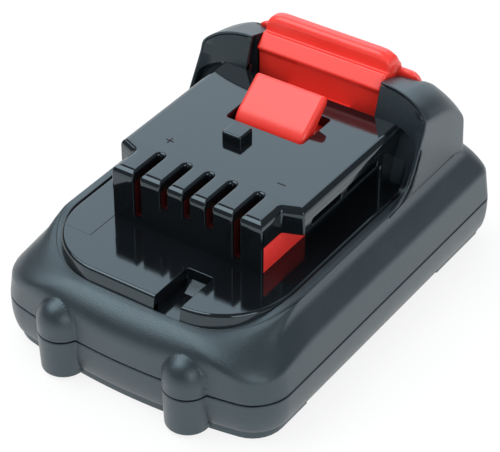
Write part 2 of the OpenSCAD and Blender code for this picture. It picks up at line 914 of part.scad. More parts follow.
module board_opening() {
    box(
        [-board_w / 2 - inner_gap, board_front - inner_gap, deck_under - eps],
        [board_w / 2 + inner_gap, board_front + board_l + inner_gap, board_top + inner_gap]
    );
    box(
        [-board_w / 2 + board_ledge, board_front + board_ledge, deck_under],
        [board_w / 2 - board_ledge, board_front + board_l - board_ledge, deck_z + eps]
    );
}

module rail_deck() {
    color(deck_colour)
        difference() {
            union() {
                translate([0, 0, deck_under])
                    linear_extrude(deck_t)
                        polygon(deck_outline(0));
                deck_skirt(front_rim_z + seat_gap, 0);
                difference() {
                    keyway_tub(keyway_z - tub_t, 0);
                    cell_bars(cell_d / 2 + cell_clear, cell_front - frame_room, cell_rear);
                }
                translate([0, 0, rail_under])
                    linear_extrude(rail_t)
                        tower_plan();
                tower_walls();
                bulkhead(0, 0);
                translate([-key_x - key_w / 2, tower_front + key_back, plate_z - eps])
                    cube([key_w, key_l, key_h + eps]);
            }
            box(
                [tower_wall - tower_w / 2, tower_front + front_wall, rail_under - 2 * eps],
                [tower_w / 2 - tower_wall, plate_rear + eps, roof_z]
            );
            terminal_slots(tower_front - eps, plate_z + eps);
            box(
                [-tongue_w / 2 - tongue_gap, tongue_front - tongue_gap, roof_z - eps],
                [tongue_w / 2 + tongue_gap, tongue_rear + tongue_gap, plate_z + eps]
            );
            box(
                [keyway_x, deck_front - eps, keyway_z],
                [keyway_x + keyway_w, deck_front + keyway_l, deck_z + eps]
            );
            rail_pockets();
            board_opening();
        }
}

// Release latch: tongue, web and button in one moulding. The tongue is a sloping flap on a stem.
module tongue() {
    nose = tongue_front + nose_r;
    stem_rear = tongue_front + stem_l;
    tongue_top = plate_z + tongue_h;
    tongue_angle = atan((tongue_h - tongue_nose_h) / (tongue_l - nose_r));
    along_x(-tongue_w / 2, tongue_w / 2)
        polygon(concat(
            [
                [stem_rear, web_top - eps],
                [stem_rear, plate_z],
                [tongue_rear, tongue_top - flap_t],
                [tongue_rear, tongue_top]
            ],
            arc([nose, plate_z + tongue_nose_h - nose_drop], nose_r, 90 + tongue_angle, 180, curve_n),
            [[tongue_front, web_top - eps]]
        ));
}

module button_side() {
    lip_z = plate_z + button_lip_h;
    crest = [panel_y + ridge_back, plate_z + button_h - ridge_r];
    polygon(concat(
        [
            [panel_y, button_z],
            [panel_y, lip_z - button_lip_out],
            [panel_y - button_lip_out, lip_z],
            [panel_y + lip_run, lip_z + lip_rise]
        ],
        arc(crest, ridge_r, ridge_from, ridge_to, curve_n),
        [
            [pad_front + back_run, plate_z + post_h],
            [button_rear, pad_lip_z + back_foot],
            [button_rear, button_z]
        ]
    ));
}

module pad_side() {
    pad_l = button_rear - pad_front;
    polygon(concat(
        [[pad_front, button_z], [pad_front, pad_top]],
        ellipse_arc([pad_front, pad_lip_z], pad_l, pad_top - pad_lip_z, pad_from, 0, curve_n),
        [[button_rear, button_z]]
    ));
}

// Front view of the button with rounded ends, up to a top
module round_top(half, top, r) {
    polygon(concat(
        [[-half, button_z], [half, button_z]],
        arc([half - r, top - r], r, 0, 90, curve_n),
        arc([r - half, top - r], r, 90, 180, curve_n)
    ));
}

module button() {
    intersection() {
        union() {
            along_x(-button_x, button_x)
                button_side();
            along_x(-pad_x, pad_x)
                pad_side();
        }
        along_y(plate_rear, rear_y) {
            round_top(button_x, plate_z + button_h, ridge_end_r);
            round_top(pad_x, pad_top, pad_corner_r);
        }
    }
}

// Hollow between the two spring sockets
module button_hollow() {
    half = spring_pitch / 2 - socket_d / 2 - button_wall;
    box(
        [-half, panel_y + button_wall, button_z - eps],
        [half, button_rear - button_wall, plate_z + button_lip_h - button_wall]
    );
}

module release_latch() {
    color(red)
        difference() {
            union() {
                tongue();
                box(
                    [-web_w / 2, tongue_front, web_top - web_t],
                    [web_w / 2, panel_y + button_wall, web_top]
                );
                difference() {
                    button();
                    button_hollow();
                }
            }
            spring_spots(button_z - eps)
                cylinder(d = socket_d, h = spring_socket + eps);
        }
}

// Latch springs: one tube each, with straight ends square to their seats
function spring_path() =
    let (
        n = turn_n * spring_turns,
        low = well_z + spring_wire,
        high = spring_top - spring_wire
    )
    concat(
        [[0, well_z]],
        [for (i = [0 : n]) [360 * i / turn_n, blend(low, high, i / n)]],
        [[360 * spring_turns, spring_top]]
    );

function on_spring(p) = [spring_d / 2 * cos(p[0]), spring_d / 2 * sin(p[0]), p[1]];

module spring() {
    path = spring_path();
    n = len(path);
    points = [for (p = path) on_spring(p)];
    rings = [
        for (i = [0 : n - 1])
            let (
                ahead = points[min(i + 1, n - 1)] - points[max(i - 1, 0)],
                along = ahead / norm(ahead),
                out = [cos(path[i][0]), sin(path[i][0]), 0],
                up = cross(out, along)
            )
                [
                    for (k = [0 : wire_n - 1])
                        let (a = 360 * k / wire_n)
                            points[i] + spring_wire / 2 * (cos(a) * out + sin(a) * up)
                ]
    ];
    least = min([
        for (i = [0 : n - turn_n + 1], j = [i + turn_n - 2 : n - 1])
            norm(points[i] - points[j])
    ]) - spring_wire;
    echo(least_spring_gap = least);
    loft(rings);
}

module latch_spring(side) {
    color(nickel)
        translate([side * spring_pitch / 2, spring_y, 0])
            spring();
}

// Terminal block with a pocket for each contact
module terminal_block() {
    upper_x = tower_w / 2 - tower_wall - inner_gap;
    lower_x = tower_w / 2 - inner_gap;
    low = deck_z + inner_gap;
    half = contact_w / 2 + inner_gap;
    color(red)
        difference() {
            union() {
                box([-lower_x, block_front, low], [lower_x, block_rear, rail_under - inner_gap]);
                box([-upper_x, block_front, low], [upper_x, block_rear, roof_z - inner_gap]);
            }
            terminal_slots(block_front - eps, roof_z + eps);
            for (s = slots)
                box(
                    [s[0] - half, contact_front - inner_gap, deck_z],
                    [s[0] + half, contact_front + contact_l + inner_gap, contact_top + inner_gap]
                );
        }
}

// Forked contact that stands on the board in one of the slots
module contact(i) {
    x = slots[i][0];
    color([0.80, 0.60, 0.32])
        difference() {
            box(
                [x - contact_w / 2, contact_front, board_top],
                [x + contact_w / 2, contact_front + contact_l, contact_top]
            );
            box(
                [x - contact_gap / 2, contact_front - eps, board_top + contact_base],
                [x + contact_gap / 2, contact_front + contact_l + eps, contact_top + eps]
            );
        }
}

module circuit_board() {
    color([0.05, 0.30, 0.16])
        box([-board_w / 2, board_front, deck_under], [board_w / 2, board_front + board_l, board_top]);
}

// Component on the board: middle across and behind the block, and size
module on_board(x, y, size) {
    translate([x - size[0] / 2, block_rear + y, board_top])
        cube(size);
}

module controller_chip() {
    color([0.10, 0.10, 0.11])
        on_board(0, part_gap, chip_size);
}

module mosfet(side) {
    color([0.12, 0.12, 0.13])
        on_board(side * ((chip_size[0] + mosfet_size[0]) / 2 + part_gap), part_gap, mosfet_size);
}

module shunt_resistor() {
    color([0.55, 0.42, 0.30])
        on_board(0, chip_size[1] + 2 * part_gap, shunt_size);
}

module fuse() {
    color([0.85, 0.85, 0.82])
        on_board((shunt_size[0] + fuse_size[0]) / 2 + part_gap, chip_size[1] + 2 * part_gap, fuse_size);
}

module capacitors() {
    pitch = capacitor_size[0] + part_gap;
    color([0.62, 0.50, 0.38])
        for (i = [1 : capacitor_n])
            on_board(-shunt_size[0] / 2 - pitch * i, chip_size[1] + 2 * part_gap, capacitor_size);
}

// Thermistor bead between two cells, with its two legs up to the board
module thermistor() {
    bead_z = cell_z + valley_rise(bead_d / 2);
    color([0.15, 0.15, 0.16])
        translate([-lead_x, block_rear, bead_z]) {
            sphere(d = bead_d);
            for (s = [-1, 1])
                translate([0, s * bead_d / 4, 0])
                    cylinder(d = leg_d, h = deck_under - bead_z);
        }
}

// Cells: the outer two have the positive end at the front, the middle one at the rear
module along_cell(i) {
    turned = i == 0 ? 1 : -1;
    translate([i * cell_pitch, (cell_front + cell_rear) / 2, cell_z])
        rotate([-90 * turned, 0, 0])
            translate([0, 0, -cell_l / 2])
                children();
}

module cell(i) {
    shoulder_h = cell_l - button_cap_h;
    groove_h = shoulder_h - groove_back;
    color([0.70, 0.71, 0.72])
        along_cell(i)
            rotate_extrude()
                polygon([
                    [0, 0],
                    [can_r, 0],
                    [can_r, groove_h - groove],
                    [can_r - groove, groove_h],
                    [can_r, groove_h + groove],
                    [can_r, shoulder_h],
                    [button_cap_d / 2, shoulder_h],
                    [button_cap_d / 2, cell_l],
                    [0, cell_l]
                ]);
}

module sleeve(i) {
    color([0.10, 0.35, 0.62])
        along_cell(i)
            difference() {
                cylinder(d = cell_d, h = cell_l - button_cap_h);
                translate([0, 0, -eps])
                    cylinder(r = can_r + inner_gap, h = cell_l);
            }
}

module insulator(i) {
    color([0.92, 0.92, 0.88])
        along_cell(i)
            translate([0, 0, cell_l - button_cap_h])
                difference() {
                    cylinder(r = can_r, h = ring_t);
                    translate([0, 0, -eps])
                        cylinder(d = button_cap_d + 4 * inner_gap, h = ring_t + 2 * eps);
                }
}

// End frame: a plate over the cell ends, with fingers between the cells below
module frame_profile() {
    span = (cell_count - 1) * cell_pitch;
    translate([-span / 2, cell_z - frame_h / 2])
        square([span, frame_h]);
    for (s = [-1, 1])
        translate([s * span / 2, cell_z])
            circle(d = frame_h);
}

module cell_frame(end) {
    plate_y = link_t + inner_gap;
    face = end < 0 ? cell_front : cell_rear;
    color([0.86, 0.84, 0.78])
        translate([0, face, 0])
            mirror([0, end < 0 ? 1 : 0, 0]) {
                along_y(plate_y, plate_y + frame_plate_t)
                    frame_profile();
                for (s = [-1, 1])
                    frame_finger(s * lead_x, plate_y);
            }
}

// Finger that lies in the valley under two cells
module frame_finger(x, reach) {
    rise = valley_rise(finger_d / 2);
    translate([x, -frame_depth, cell_z - rise])
        rotate([-90, 0, 0])
            cylinder(d = finger_d, h = frame_depth + reach + eps);
}

// Nickel strip on the cell ends between two places, with an ear for a lead
module strip(x0, x1, ear_x, y0) {
    color(nickel) {
        box([x0, y0, cell_z - link_h / 2], [x1, y0 + link_t, cell_z + link_h / 2]);
        box([ear_x - lead_d / 2, y0, cell_z], [ear_x + lead_d / 2, y0 + link_t, lead_z + lead_d / 2]);
    }
}

weld_half = link_h / 2;

module positive_tab() {
    strip(-cell_pitch - weld_half, lead_d / 2 - lead_x, -lead_x, cell_front - link_t);
}

module series_link_front() {
    strip(-weld_half, cell_pitch + weld_half, lead_x, cell_front - link_t);
}

module series_link_rear() {
    strip(-cell_pitch - weld_half, weld_half, -lead_x, cell_rear);
}

module negative_tab() {
    strip(lead_x - lead_d / 2, cell_pitch + weld_half, lead_x, cell_rear);
}

// Insulated lead along the valley between two cells and up to the board
module lead(side, y0, y1) {
    x = side * lead_x;
    low = min(y0, y1);
    translate([x, low, lead_z])
        rotate([-90, 0, 0])
            cylinder(d = lead_d, h = abs(y1 - y0));
    translate([x, y1, lead_z]) {
        sphere(d = lead_d);
        cylinder(d = lead_d, h = deck_under - lead_z);
    }
}

module positive_lead() {
    color([0.75, 0.10, 0.10])
        lead(-1, cell_front, board_front + lead_reach);
}

module negative_lead() {
    color([0.08, 0.08, 0.09])
        lead(1, cell_rear, board_front + board_l - lead_reach);
}

module sense_lead_front() {
    color([0.85, 0.85, 0.85])
        lead(1, cell_front, board_front + lead_reach);
}

module sense_lead_rear() {
    color([0.95, 0.75, 0.15])
        lead(-1, cell_rear, board_front + board_l - lead_reach);
}

// Foam strip between an outer cell and the wall
module foam_pad(side) {
    inner = cell_pitch + cell_d / 2 + inner_gap;
    outer = half_w - wall - foam_clear;
    color([0.25, 0.25, 0.26])
        mirror([side < 0 ? 1 : 0, 0, 0])
            box(
                [inner, -foam_l / 2, split_z - foam_h / 2],
                [outer, foam_l / 2, split_z + foam_h / 2]
            );
}

// Pan-head screws from below, each with a cross recess
module housing_screws() {
    color([0.60, 0.61, 0.63])
        at_spots(screw_spots, screw_sink)
            difference() {
                union() {
                    cylinder(d = screw_d, h = screw_l);
                    translate([0, 0, -screw_head_h])
                        cylinder(d = screw_head_d, h = screw_head_h);
                }
                for (a = [0, 90])
                    rotate([0, 0, a])
                        translate([0, 0, -screw_head_h])
                            cube([recess_l, recess_w, screw_head_h], center = true);
            }
}

lower_housing();
upper_housing();
rail_deck();
release_latch();
latch_spring(-1);  // latch_spring_left
latch_spring(1);  // latch_spring_right
terminal_block();
contact(0);  // contact_positive
contact(1);  // contact_sense_left
contact(2);  // contact_sense_middle
contact(3);  // contact_sense_right
contact(4);  // contact_negative
circuit_board();
controller_chip();
mosfet(-1);  // mosfet_left
mosfet(1);  // mosfet_right
shunt_resistor();
fuse();
capacitors();
thermistor();
cell(-1);  // cell_left
cell(0);  // cell_middle
cell(1);  // cell_right
sleeve(-1);  // sleeve_left
sleeve(0);  // sleeve_middle
sleeve(1);  // sleeve_right
insulator(-1);  // insulator_left
insulator(0);  // insulator_middle
insulator(1);  // insulator_right
cell_frame(-1);  // cell_frame_front
cell_frame(1);  // cell_frame_rear
positive_tab();
series_link_front();
series_link_rear();
negative_tab();
positive_lead();
negative_lead();
sense_lead_front();
sense_lead_rear();
foam_pad(-1);  // foam_pad_left
foam_pad(1);  // foam_pad_right
housing_screws();
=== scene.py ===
import math

import bpy
import numpy as np
from mathutils import Matrix, Vector
from mathutils.geometry import tessellate_polygon


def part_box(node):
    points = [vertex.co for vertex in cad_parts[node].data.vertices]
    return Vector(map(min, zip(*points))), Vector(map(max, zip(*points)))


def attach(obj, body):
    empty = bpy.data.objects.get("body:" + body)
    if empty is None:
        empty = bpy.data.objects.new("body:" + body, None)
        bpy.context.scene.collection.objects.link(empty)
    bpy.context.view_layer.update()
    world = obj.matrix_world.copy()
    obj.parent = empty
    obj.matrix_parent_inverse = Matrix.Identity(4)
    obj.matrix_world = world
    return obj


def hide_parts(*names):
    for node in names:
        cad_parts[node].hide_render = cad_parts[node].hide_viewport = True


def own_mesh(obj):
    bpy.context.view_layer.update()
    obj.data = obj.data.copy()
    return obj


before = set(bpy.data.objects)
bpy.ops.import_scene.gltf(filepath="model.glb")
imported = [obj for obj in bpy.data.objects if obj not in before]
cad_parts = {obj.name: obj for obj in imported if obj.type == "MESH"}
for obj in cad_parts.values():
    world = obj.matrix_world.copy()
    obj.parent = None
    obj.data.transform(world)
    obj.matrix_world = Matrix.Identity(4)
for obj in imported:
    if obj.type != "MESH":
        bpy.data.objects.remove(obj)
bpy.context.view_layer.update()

mm = 0.001
hair = 0.01    # small overlap of solids that join, in mm
print("frame loaded:", len(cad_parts), "nodes")


def boxInMm(node):
    low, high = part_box(node)
    return np.array(low) / mm, np.array(high) / mm


lowerLow, lowerHigh = boxInMm("lower_housing")
upperLow = boxInMm("upper_housing")[0]
deckLow, deckHigh = boxInMm("rail_deck")
boardLow = boxInMm("circuit_board")[0]
blockHigh = boxInMm("terminal_block")[1]
springLow, springHigh = boxInMm("latch_spring_right")
screwLow = boxInMm("housing_screws")[0]

pack = {
    "halfWidth": lowerHigh[0],
    "rear": lowerHigh[1] + 0.8,     # the photograph shows it a little fuller
    "front": lowerLow[1] + 2.75,    # the wall between the screw posts
    "split": upperLow[2],           # parting line
    "deckUnder": boardLow[2],
    "deckFront": deckLow[1],
    "deckTop": boardLow[2] + 2.4,
    "plate": boardLow[2] + 14.3,    # top of the terminal tower
    "plateRear": 24.4,
    "wall": 2.2,
    "sink": 0.1,                    # how far a piece goes into the one it stands on
}


# smooth step from 0 to 1
def ease(t):
    u = np.clip(t, 0, 1)
    return u * u * (3 - 2 * u)


# quarter of a round edge: how far it draws in and drops, from the side (0) to the top (1)
def edgeRound(steps):
    a = np.linspace(0, math.pi / 2, steps + 1)
    return 1 - np.cos(a), 1 - np.sin(a)


# Closed loop of straight sides and round corners. A corner row is x, y, radius, counter-clockwise round the
# solid. Side i leaves corner i and is moved inwards by shift[i]: outer corners lose that much radius, inner
# ones gain it.
def roundedLoop(corners, shift=0.0, arcSteps=6):
    c = np.asarray(corners, float)
    count = len(c)
    p = c[:, :2]
    shift = np.broadcast_to(np.asarray(shift, float), (count,))
    d = np.roll(p, -1, 0) - p
    d = d / np.linalg.norm(d, axis=1, keepdims=True)
    out = np.stack([d[:, 1], -d[:, 0]], 1)
    here = p - out * shift[:, None]
    dBack, outBack, shiftBack = np.roll(d, 1, 0), np.roll(out, 1, 0), np.roll(shift, 1)
    there = p - outBack * shiftBack[:, None]
    cross = dBack[:, 0] * d[:, 1] - dBack[:, 1] * d[:, 0]
    flat = np.abs(cross) < 1e-6
    gap = here - there
    run = (gap[:, 0] * d[:, 1] - gap[:, 1] * d[:, 0]) / np.where(flat, 1, cross)
    corner = np.where(flat[:, None], (here + there) / 2, there + dBack * run[:, None])
    turn = np.arctan2(cross, np.sum(dBack * d, 1))
    radius = np.maximum(c[:, 2] - np.sign(turn) * (shift + shiftBack) / 2, 0.02)
    cut = radius * np.tan(np.abs(turn) / 2)
    start = corner - dBack * cut[:, None]
    centre = start - outBack * (np.sign(turn) * radius)[:, None]
    first = np.arctan2(start[:, 1] - centre[:, 1], start[:, 0] - centre[:, 0])
    share = np.linspace(0, 1, arcSteps + 1)
    angle = first[:, None] + turn[:, None] * share[None, :]
    loop = centre[:, None, :] + radius[:, None, None] * np.stack([np.cos(angle), np.sin(angle)], 2)
    return loop.reshape(-1, 2)


# value of each side carried to the points of roundedLoop, blended round the corners
def sideValues(values, count, arcSteps=6):
    v = np.broadcast_to(np.asarray(values, float), (count,))
    share = np.linspace(0, 1, arcSteps + 1)
    return (np.roll(v, 1)[:, None] * (1 - share) + v[:, None] * share).reshape(-1)


# quads between rows of a grid, rows going up and columns counter-clockwise
def gridQuads(rows, columns, closeRows=False, closeColumns=True, first=0):
    r = np.arange(rows if closeRows else rows - 1)
    k = np.arange(columns if closeColumns else columns - 1)
    r, k = np.meshgrid(r, k, indexing="ij")
    rNext, kNext = (r + 1) % rows, (k + 1) % columns
    quads = np.stack([r * columns + k, r * columns + kNext, rNext * columns + kNext, rNext * columns + k], -1)
    return (quads.reshape(-1, 4) + first).tolist()


# solid of stacked rings, with the first and the last ring as its end faces
def stackedSolid(rings):
    rings = np.asarray(rings)
    rows, columns = rings.shape[:2]
    ends = [list(range(columns))[::-1], list(range((rows - 1) * columns, rows * columns))]
    return rings.reshape(-1, 3), gridQuads(rows, columns) + ends


# Solid standing on a loop: rings go up the walls, with round edges at the top and the foot. Edge radii may be
# given for each side, and each hole is a loop of its own, clockwise, with one edge radius. axes says where
# the loop's two directions and its height go, and between adds rings along the wall.
def filletedBlock(corners, low, high, topEdge, lowEdge=0.0, holes=(), arcSteps=6, edgeSteps=4,
                  axes=(0, 1, 2), between=0):
    inward, drop = edgeRound(edgeSteps)
    points, faces, tops, feet = [], [], [], []
    first = 0
    for loop, top, foot in [(corners, topEdge, lowEdge)] + [(h, e, 0.0) for h, e in holes]:
        count = len(loop)
        top = np.broadcast_to(np.asarray(top, float), (count,))
        foot = np.broadcast_to(np.asarray(foot, float), (count,))
        topZ, footZ = sideValues(top, count, arcSteps), sideValues(foot, count, arcSteps)
        rings = []
        if foot.max() > 0:
            rings += [np.column_stack([roundedLoop(loop, foot * i, arcSteps), low + footZ * d])
                      for i, d in zip(inward[:0:-1], drop[:0:-1])]
        wall = roundedLoop(loop, 0, arcSteps)
        rings += [np.column_stack([wall, (low + footZ) * (1 - u) + (high - topZ) * u])
                  for u in np.linspace(0, 1, between + 2)]
        if top.max() > 0:
            rings += [np.column_stack([roundedLoop(loop, top * i, arcSteps), high - topZ * d])
                      for i, d in zip(inward[1:], drop[1:])]
        rings = np.array(rings)
        faces += gridQuads(len(rings), rings.shape[1], first=first)
        points.append(rings.reshape(-1, 3))
        feet.append((first, rings[0]))
        tops.append((first + (len(rings) - 1) * rings.shape[1], rings[-1]))
        first += rings.shape[0] * rings.shape[1]
    faces += capFaces(tops, True) + capFaces(feet, False)
    points = np.concatenate(points)
    turned = np.empty_like(points)
    turned[:, list(axes)] = points
    if axes not in ((0, 1, 2), (1, 2, 0), (2, 0, 1)):
        faces = [f[::-1] for f in faces]
    return turned, faces


# flat end of a solid, as one face, or as triangles where it has holes
def capFaces(rings, up):
    if len(rings) == 1:
        start, ring = rings[0]
        face = list(range(start, start + len(ring)))
        return [face if up else face[::-1]]
    index = np.concatenate([np.arange(start, start + len(ring)) for start, ring in rings])
    flat = np.concatenate([ring for start, ring in rings])
    triangles = np.array(tessellate_polygon([[Vector(p) for p in ring] for start, ring in rings]))
    a, b, c = flat[triangles[:, 0]], flat[triangles[:, 1]], flat[triangles[:, 2]]
    area = (b[:, 0] - a[:, 0]) * (c[:, 1] - a[:, 1]) - (b[:, 1] - a[:, 1]) * (c[:, 0] - a[:, 0])
    wrong = (area > 0) != up
    triangles[wrong] = triangles[wrong][:, ::-1]
    return index[triangles].tolist()


# upright solid on a loop, without round edges
def prism(loop, low, high):
    return stackedSolid([np.column_stack([loop, np.full(len(loop), float(z))]) for z in (low, high)])


def rectangle(x0, y0, x1, y1, radius):
    return [(x0, y0, radius), (x1, y0, radius), (x1, y1, radius), (x0, y1, radius)]


# Solid of revolution about an upright axis: the profile's radius and height are carried round
def turnedSolid(x, y, profile, columns=64):
    profile = np.asarray(profile, float)
    a = np.linspace(0, 2 * math.pi, columns, endpoint=False)
    r, z = profile[:, 0][:, None], profile[:, 1][:, None]
    return stackedSolid(np.stack([x + r * np.cos(a), y + r * np.sin(a), z + 0 * a], -1))


def mirrored(solid):
    points, faces = solid
    return points * np.array([-1, 1, 1]), [f[::-1] for f in faces]


def meshFrom(name, solids):
    points, faces, first = [], [], 0
    for p, f in solids:
        points.append(p)
        faces += [[i + first for i in face] for face in f]
        first += len(p)
    mesh = bpy.data.meshes.new(name)
    mesh.from_pydata((np.concatenate(points) * mm).tolist(), [], faces)
    mesh.validate()
    return mesh


# takes the cutters' solids out of a mesh
def cutAway(mesh, cutters):
    scene = bpy.context.scene.collection
    body = bpy.data.objects.new("bodyToCut", mesh)
    tool = bpy.data.objects.new("cutter", meshFrom("cutter", cutters))
    scene.objects.link(body)
    scene.objects.link(tool)
    step = body.modifiers.new("cut", "BOOLEAN")
    step.operation = "DIFFERENCE"
    step.solver = "EXACT"
    step.use_self = True
    step.object = tool
    graph = bpy.context.evaluated_depsgraph_get()
    result = bpy.data.meshes.new_from_object(body.evaluated_get(graph))
    bpy.data.objects.remove(body)
    bpy.data.objects.remove(tool)
    return result


shading = {"sharpAngle": 38, "bevelAngle": 40, "bevelSegments": 2}


# Finished piece: smooth over its round edges, and sharp where it turns by more than the angle. A sheet gets
# its thickness from solid, and bevel rounds the edges that a cut leaves.
def addPiece(name, solids, body, replaced, slot, material, cutters=None, bevel=None, solid=None):
    mesh = meshFrom(name, solids)
    if cutters:
        mesh = cutAway(mesh, cutters)
    mesh.name = name
    mesh.polygons.foreach_set("use_smooth", np.ones(len(mesh.polygons), bool))
    mesh.set_sharp_from_angle(angle=math.radians(shading["sharpAngle"]))
    mesh.materials.clear()
    mesh.materials.append(material)
    piece = bpy.data.objects.new(name, mesh)
    bpy.context.scene.collection.objects.link(piece)
    if solid:
        step = piece.modifiers.new("thickness", "SOLIDIFY")
        step.thickness = solid * mm
        step.offset = -1
    if bevel:
        step = piece.modifiers.new("edges", "BEVEL")
        step.width = bevel * mm
        step.segments = shading["bevelSegments"]
        step.limit_method = "ANGLE"
        step.angle_limit = math.radians(shading["bevelAngle"])
    step = piece.modifiers.new("shading", "WEIGHTED_NORMAL")
    step.keep_sharp = True
    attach(piece, body)
    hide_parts(*replaced)
    return piece


# node with its settings and the values of its inputs
def addNode(tree, kind, settings=None, **inputs):
    made = tree.nodes.new(kind)
    for key, value in (settings or {}).items():
        setattr(made, key, value)
    for key, value in inputs.items():
        made.inputs[key.replace("_", " ")].default_value = value
    return made


# joins nodes, each row giving a node, its output, the next node and its input
def joinNodes(tree, *rows):
    for source, output, target, socket in rows:
        tree.links.new(source.outputs[output], target.inputs[socket])


grainLook = {"mottle": 70.0, "mottleFrom": 0.3, "mottleTo": 0.7, "speckSize": 0.25}


# Fine texture of a mould: slow mottling, small bright specks and the height of the grain
def makeMouldGrain():
    s = grainLook
    group = bpy.data.node_groups.new("mouldGrain", "ShaderNodeTree")
    for name, kind, way in (
        ("Position", "NodeSocketVector", "INPUT"), ("Grains", "NodeSocketFloat", "INPUT"),
        ("Speck Share", "NodeSocketFloat", "INPUT"), ("Mottle", "NodeSocketFloat", "OUTPUT"),
        ("Specks", "NodeSocketFloat", "OUTPUT"), ("Height", "NodeSocketFloat", "OUTPUT"),
    ):
        group.interface.new_socket(name=name, in_out=way, socket_type=kind)
    start = addNode(group, "NodeGroupInput")
    end = addNode(group, "NodeGroupOutput")
    slow = addNode(group, "ShaderNodeTexNoise", Scale=s["mottle"], Detail=4.0, Roughness=0.6)
    fine = addNode(group, "ShaderNodeTexNoise", Detail=2.0, Roughness=0.6)
    cells = addNode(group, "ShaderNodeTexVoronoi")
    less = addNode(group, "ShaderNodeMath", {"operation": "LESS_THAN"})
    pick = addNode(group, "ShaderNodeMath", {"operation": "LESS_THAN"})
    pick.inputs[1].default_value = s["speckSize"]
    both = addNode(group, "ShaderNodeMath", {"operation": "MULTIPLY"})
    spread = addNode(group, "ShaderNodeMapRange", From_Min=s["mottleFrom"], From_Max=s["mottleTo"])
    tone = addNode(group, "ShaderNodeSeparateColor")
    joinNodes(group, (start, "Position", slow, "Vector"), (start, "Position", fine, "Vector"),
                     (start, "Position", cells, "Vector"), (start, "Grains", fine, "Scale"),
                     (start, "Grains", cells, "Scale"), (slow, "Fac", spread, "Value"),
                     (spread, "Result", end, "Mottle"), (cells, "Color", tone, "Color"),
                     (tone, "Red", less, 0), (start, "Speck Share", less, 1), (cells, "Distance", pick, 0),
                     (less, 0, both, 0), (pick, 0, both, 1), (both, 0, end, "Specks"),
                     (fine, "Fac", end, "Height"))
    return group


mouldGrain = makeMouldGrain()


# Finish of a moulded or metal surface: two tones mottled together, specks over them, rougher where the
# mottling is light, and a bump from the grain
def makeFinish(name, dark, light, rough, metal=0.0, grains=2500.0, specks=0.0, speckTone=(0.5, 0.5, 0.5),
               bump=0.2, depth=0.05, ior=1.5, shine=(1, 1, 1)):
    material = bpy.data.materials.new(name)
    material.use_nodes = True
    tree = material.node_tree
    shader = tree.nodes["Principled BSDF"]
    shader.inputs["Metallic"].default_value = metal
    shader.inputs["IOR"].default_value = ior
    shader.inputs["Specular Tint"].default_value = (*shine, 1)
    place = addNode(tree, "ShaderNodeTexCoord")
    grain = addNode(tree, "ShaderNodeGroup", {"node_tree": mouldGrain}, Grains=grains, Speck_Share=specks)
    tones = addNode(tree, "ShaderNodeMix", {"data_type": "RGBA"})
    tones.inputs["A"].default_value = (*dark, 1)
    tones.inputs["B"].default_value = (*light, 1)
    dotted = addNode(tree, "ShaderNodeMix", {"data_type": "RGBA"})
    dotted.inputs["B"].default_value = (*speckTone, 1)
    gloss = addNode(tree, "ShaderNodeMapRange", To_Min=rough[0], To_Max=rough[1])
    height = addNode(tree, "ShaderNodeBump", Strength=bump, Distance=depth * mm)
    joinNodes(tree, (place, "Object", grain, "Position"), (grain, "Mottle", tones, "Factor"),
                    (tones, "Result", dotted, "A"), (grain, "Specks", dotted, "Factor"),
                    (dotted, "Result", shader, "Base Color"), (grain, "Mottle", gloss, "Value"),
                    (gloss, "Result", shader, "Roughness"), (grain, "Height", height, "Height"),
                    (height, "Normal", shader, "Normal"))
    return material


shellFinish = makeFinish("satinShell", (0.016, 0.022, 0.027), (0.023, 0.030, 0.036), (0.27, 0.36),
                         grains=4600.0, specks=0.10, speckTone=(0.05, 0.06, 0.07), bump=1.0, depth=0.06,
                         ior=1.75, shine=(0.70, 0.91, 1.0))
glossFinish = makeFinish("glossDeck", (0.0035, 0.0045, 0.0055), (0.0055, 0.0065, 0.0080), (0.05, 0.10),
                         grains=1800.0, bump=0.02, ior=1.7, shine=(0.72, 0.91, 1.0))
bulkheadFinish = makeFinish("satinDeck", (0.011, 0.016, 0.020), (0.014, 0.020, 0.025), (0.22, 0.29),
                            grains=2600.0, bump=0.3, ior=1.6, shine=(0.80, 0.95, 1.0))
redFinish = makeFinish("redMoulding", (0.84, 0.032, 0.021), (0.90, 0.043, 0.029), (0.30, 0.38), grains=2200.0,
                       bump=0.12, ior=1.6)
blockFinish = makeFinish("redBlock", (0.76, 0.035, 0.028), (0.84, 0.050, 0.040), (0.34, 0.42), grains=2200.0,
                         bump=0.1)
# painted shade: the red block turns dark inside the tower, where the slots are shaded
blockPaintedShade = {"reach": 17.6, "fade": 0.3, "tone": (0.06, 0.006, 0.006)}


# paints shade into a finish away from the outer faces: the tone takes over below a distance from the middle
# plane, as painted shade on the parts that lie inside, deep down the slots
def paintShadeInside(material, reach, fade, tone):
    tree = material.node_tree
    shader = tree.nodes["Principled BSDF"]
    base = shader.inputs["Base Color"].links[0].from_socket
    place = addNode(tree, "ShaderNodeTexCoord")
    parts = addNode(tree, "ShaderNodeSeparateXYZ")
    away = addNode(tree, "ShaderNodeMath", {"operation": "ABSOLUTE"})
    outer = addNode(tree, "ShaderNodeMapRange", From_Min=(reach - fade) * mm, From_Max=reach * mm)
    mix = addNode(tree, "ShaderNodeMix", {"data_type": "RGBA"})
    mix.inputs["A"].default_value = (*tone, 1)
    tree.links.new(base, mix.inputs["B"])
    joinNodes(tree, (place, "Object", parts, "Vector"), (parts, "X", away, 0), (away, 0, outer, "Value"),
                    (outer, "Result", mix, "Factor"), (mix, "Result", shader, "Base Color"))


paintShadeInside(blockFinish, **blockPaintedShade)
markFinish = makeFinish("printedMark", (0.004, 0.004, 0.005), (0.008, 0.008, 0.009), (0.5, 0.6))
wireFinish = makeFinish("springWire", (0.50, 0.50, 0.49), (0.62, 0.61, 0.60), (0.22, 0.32), metal=1.0,
                        bump=0.05)

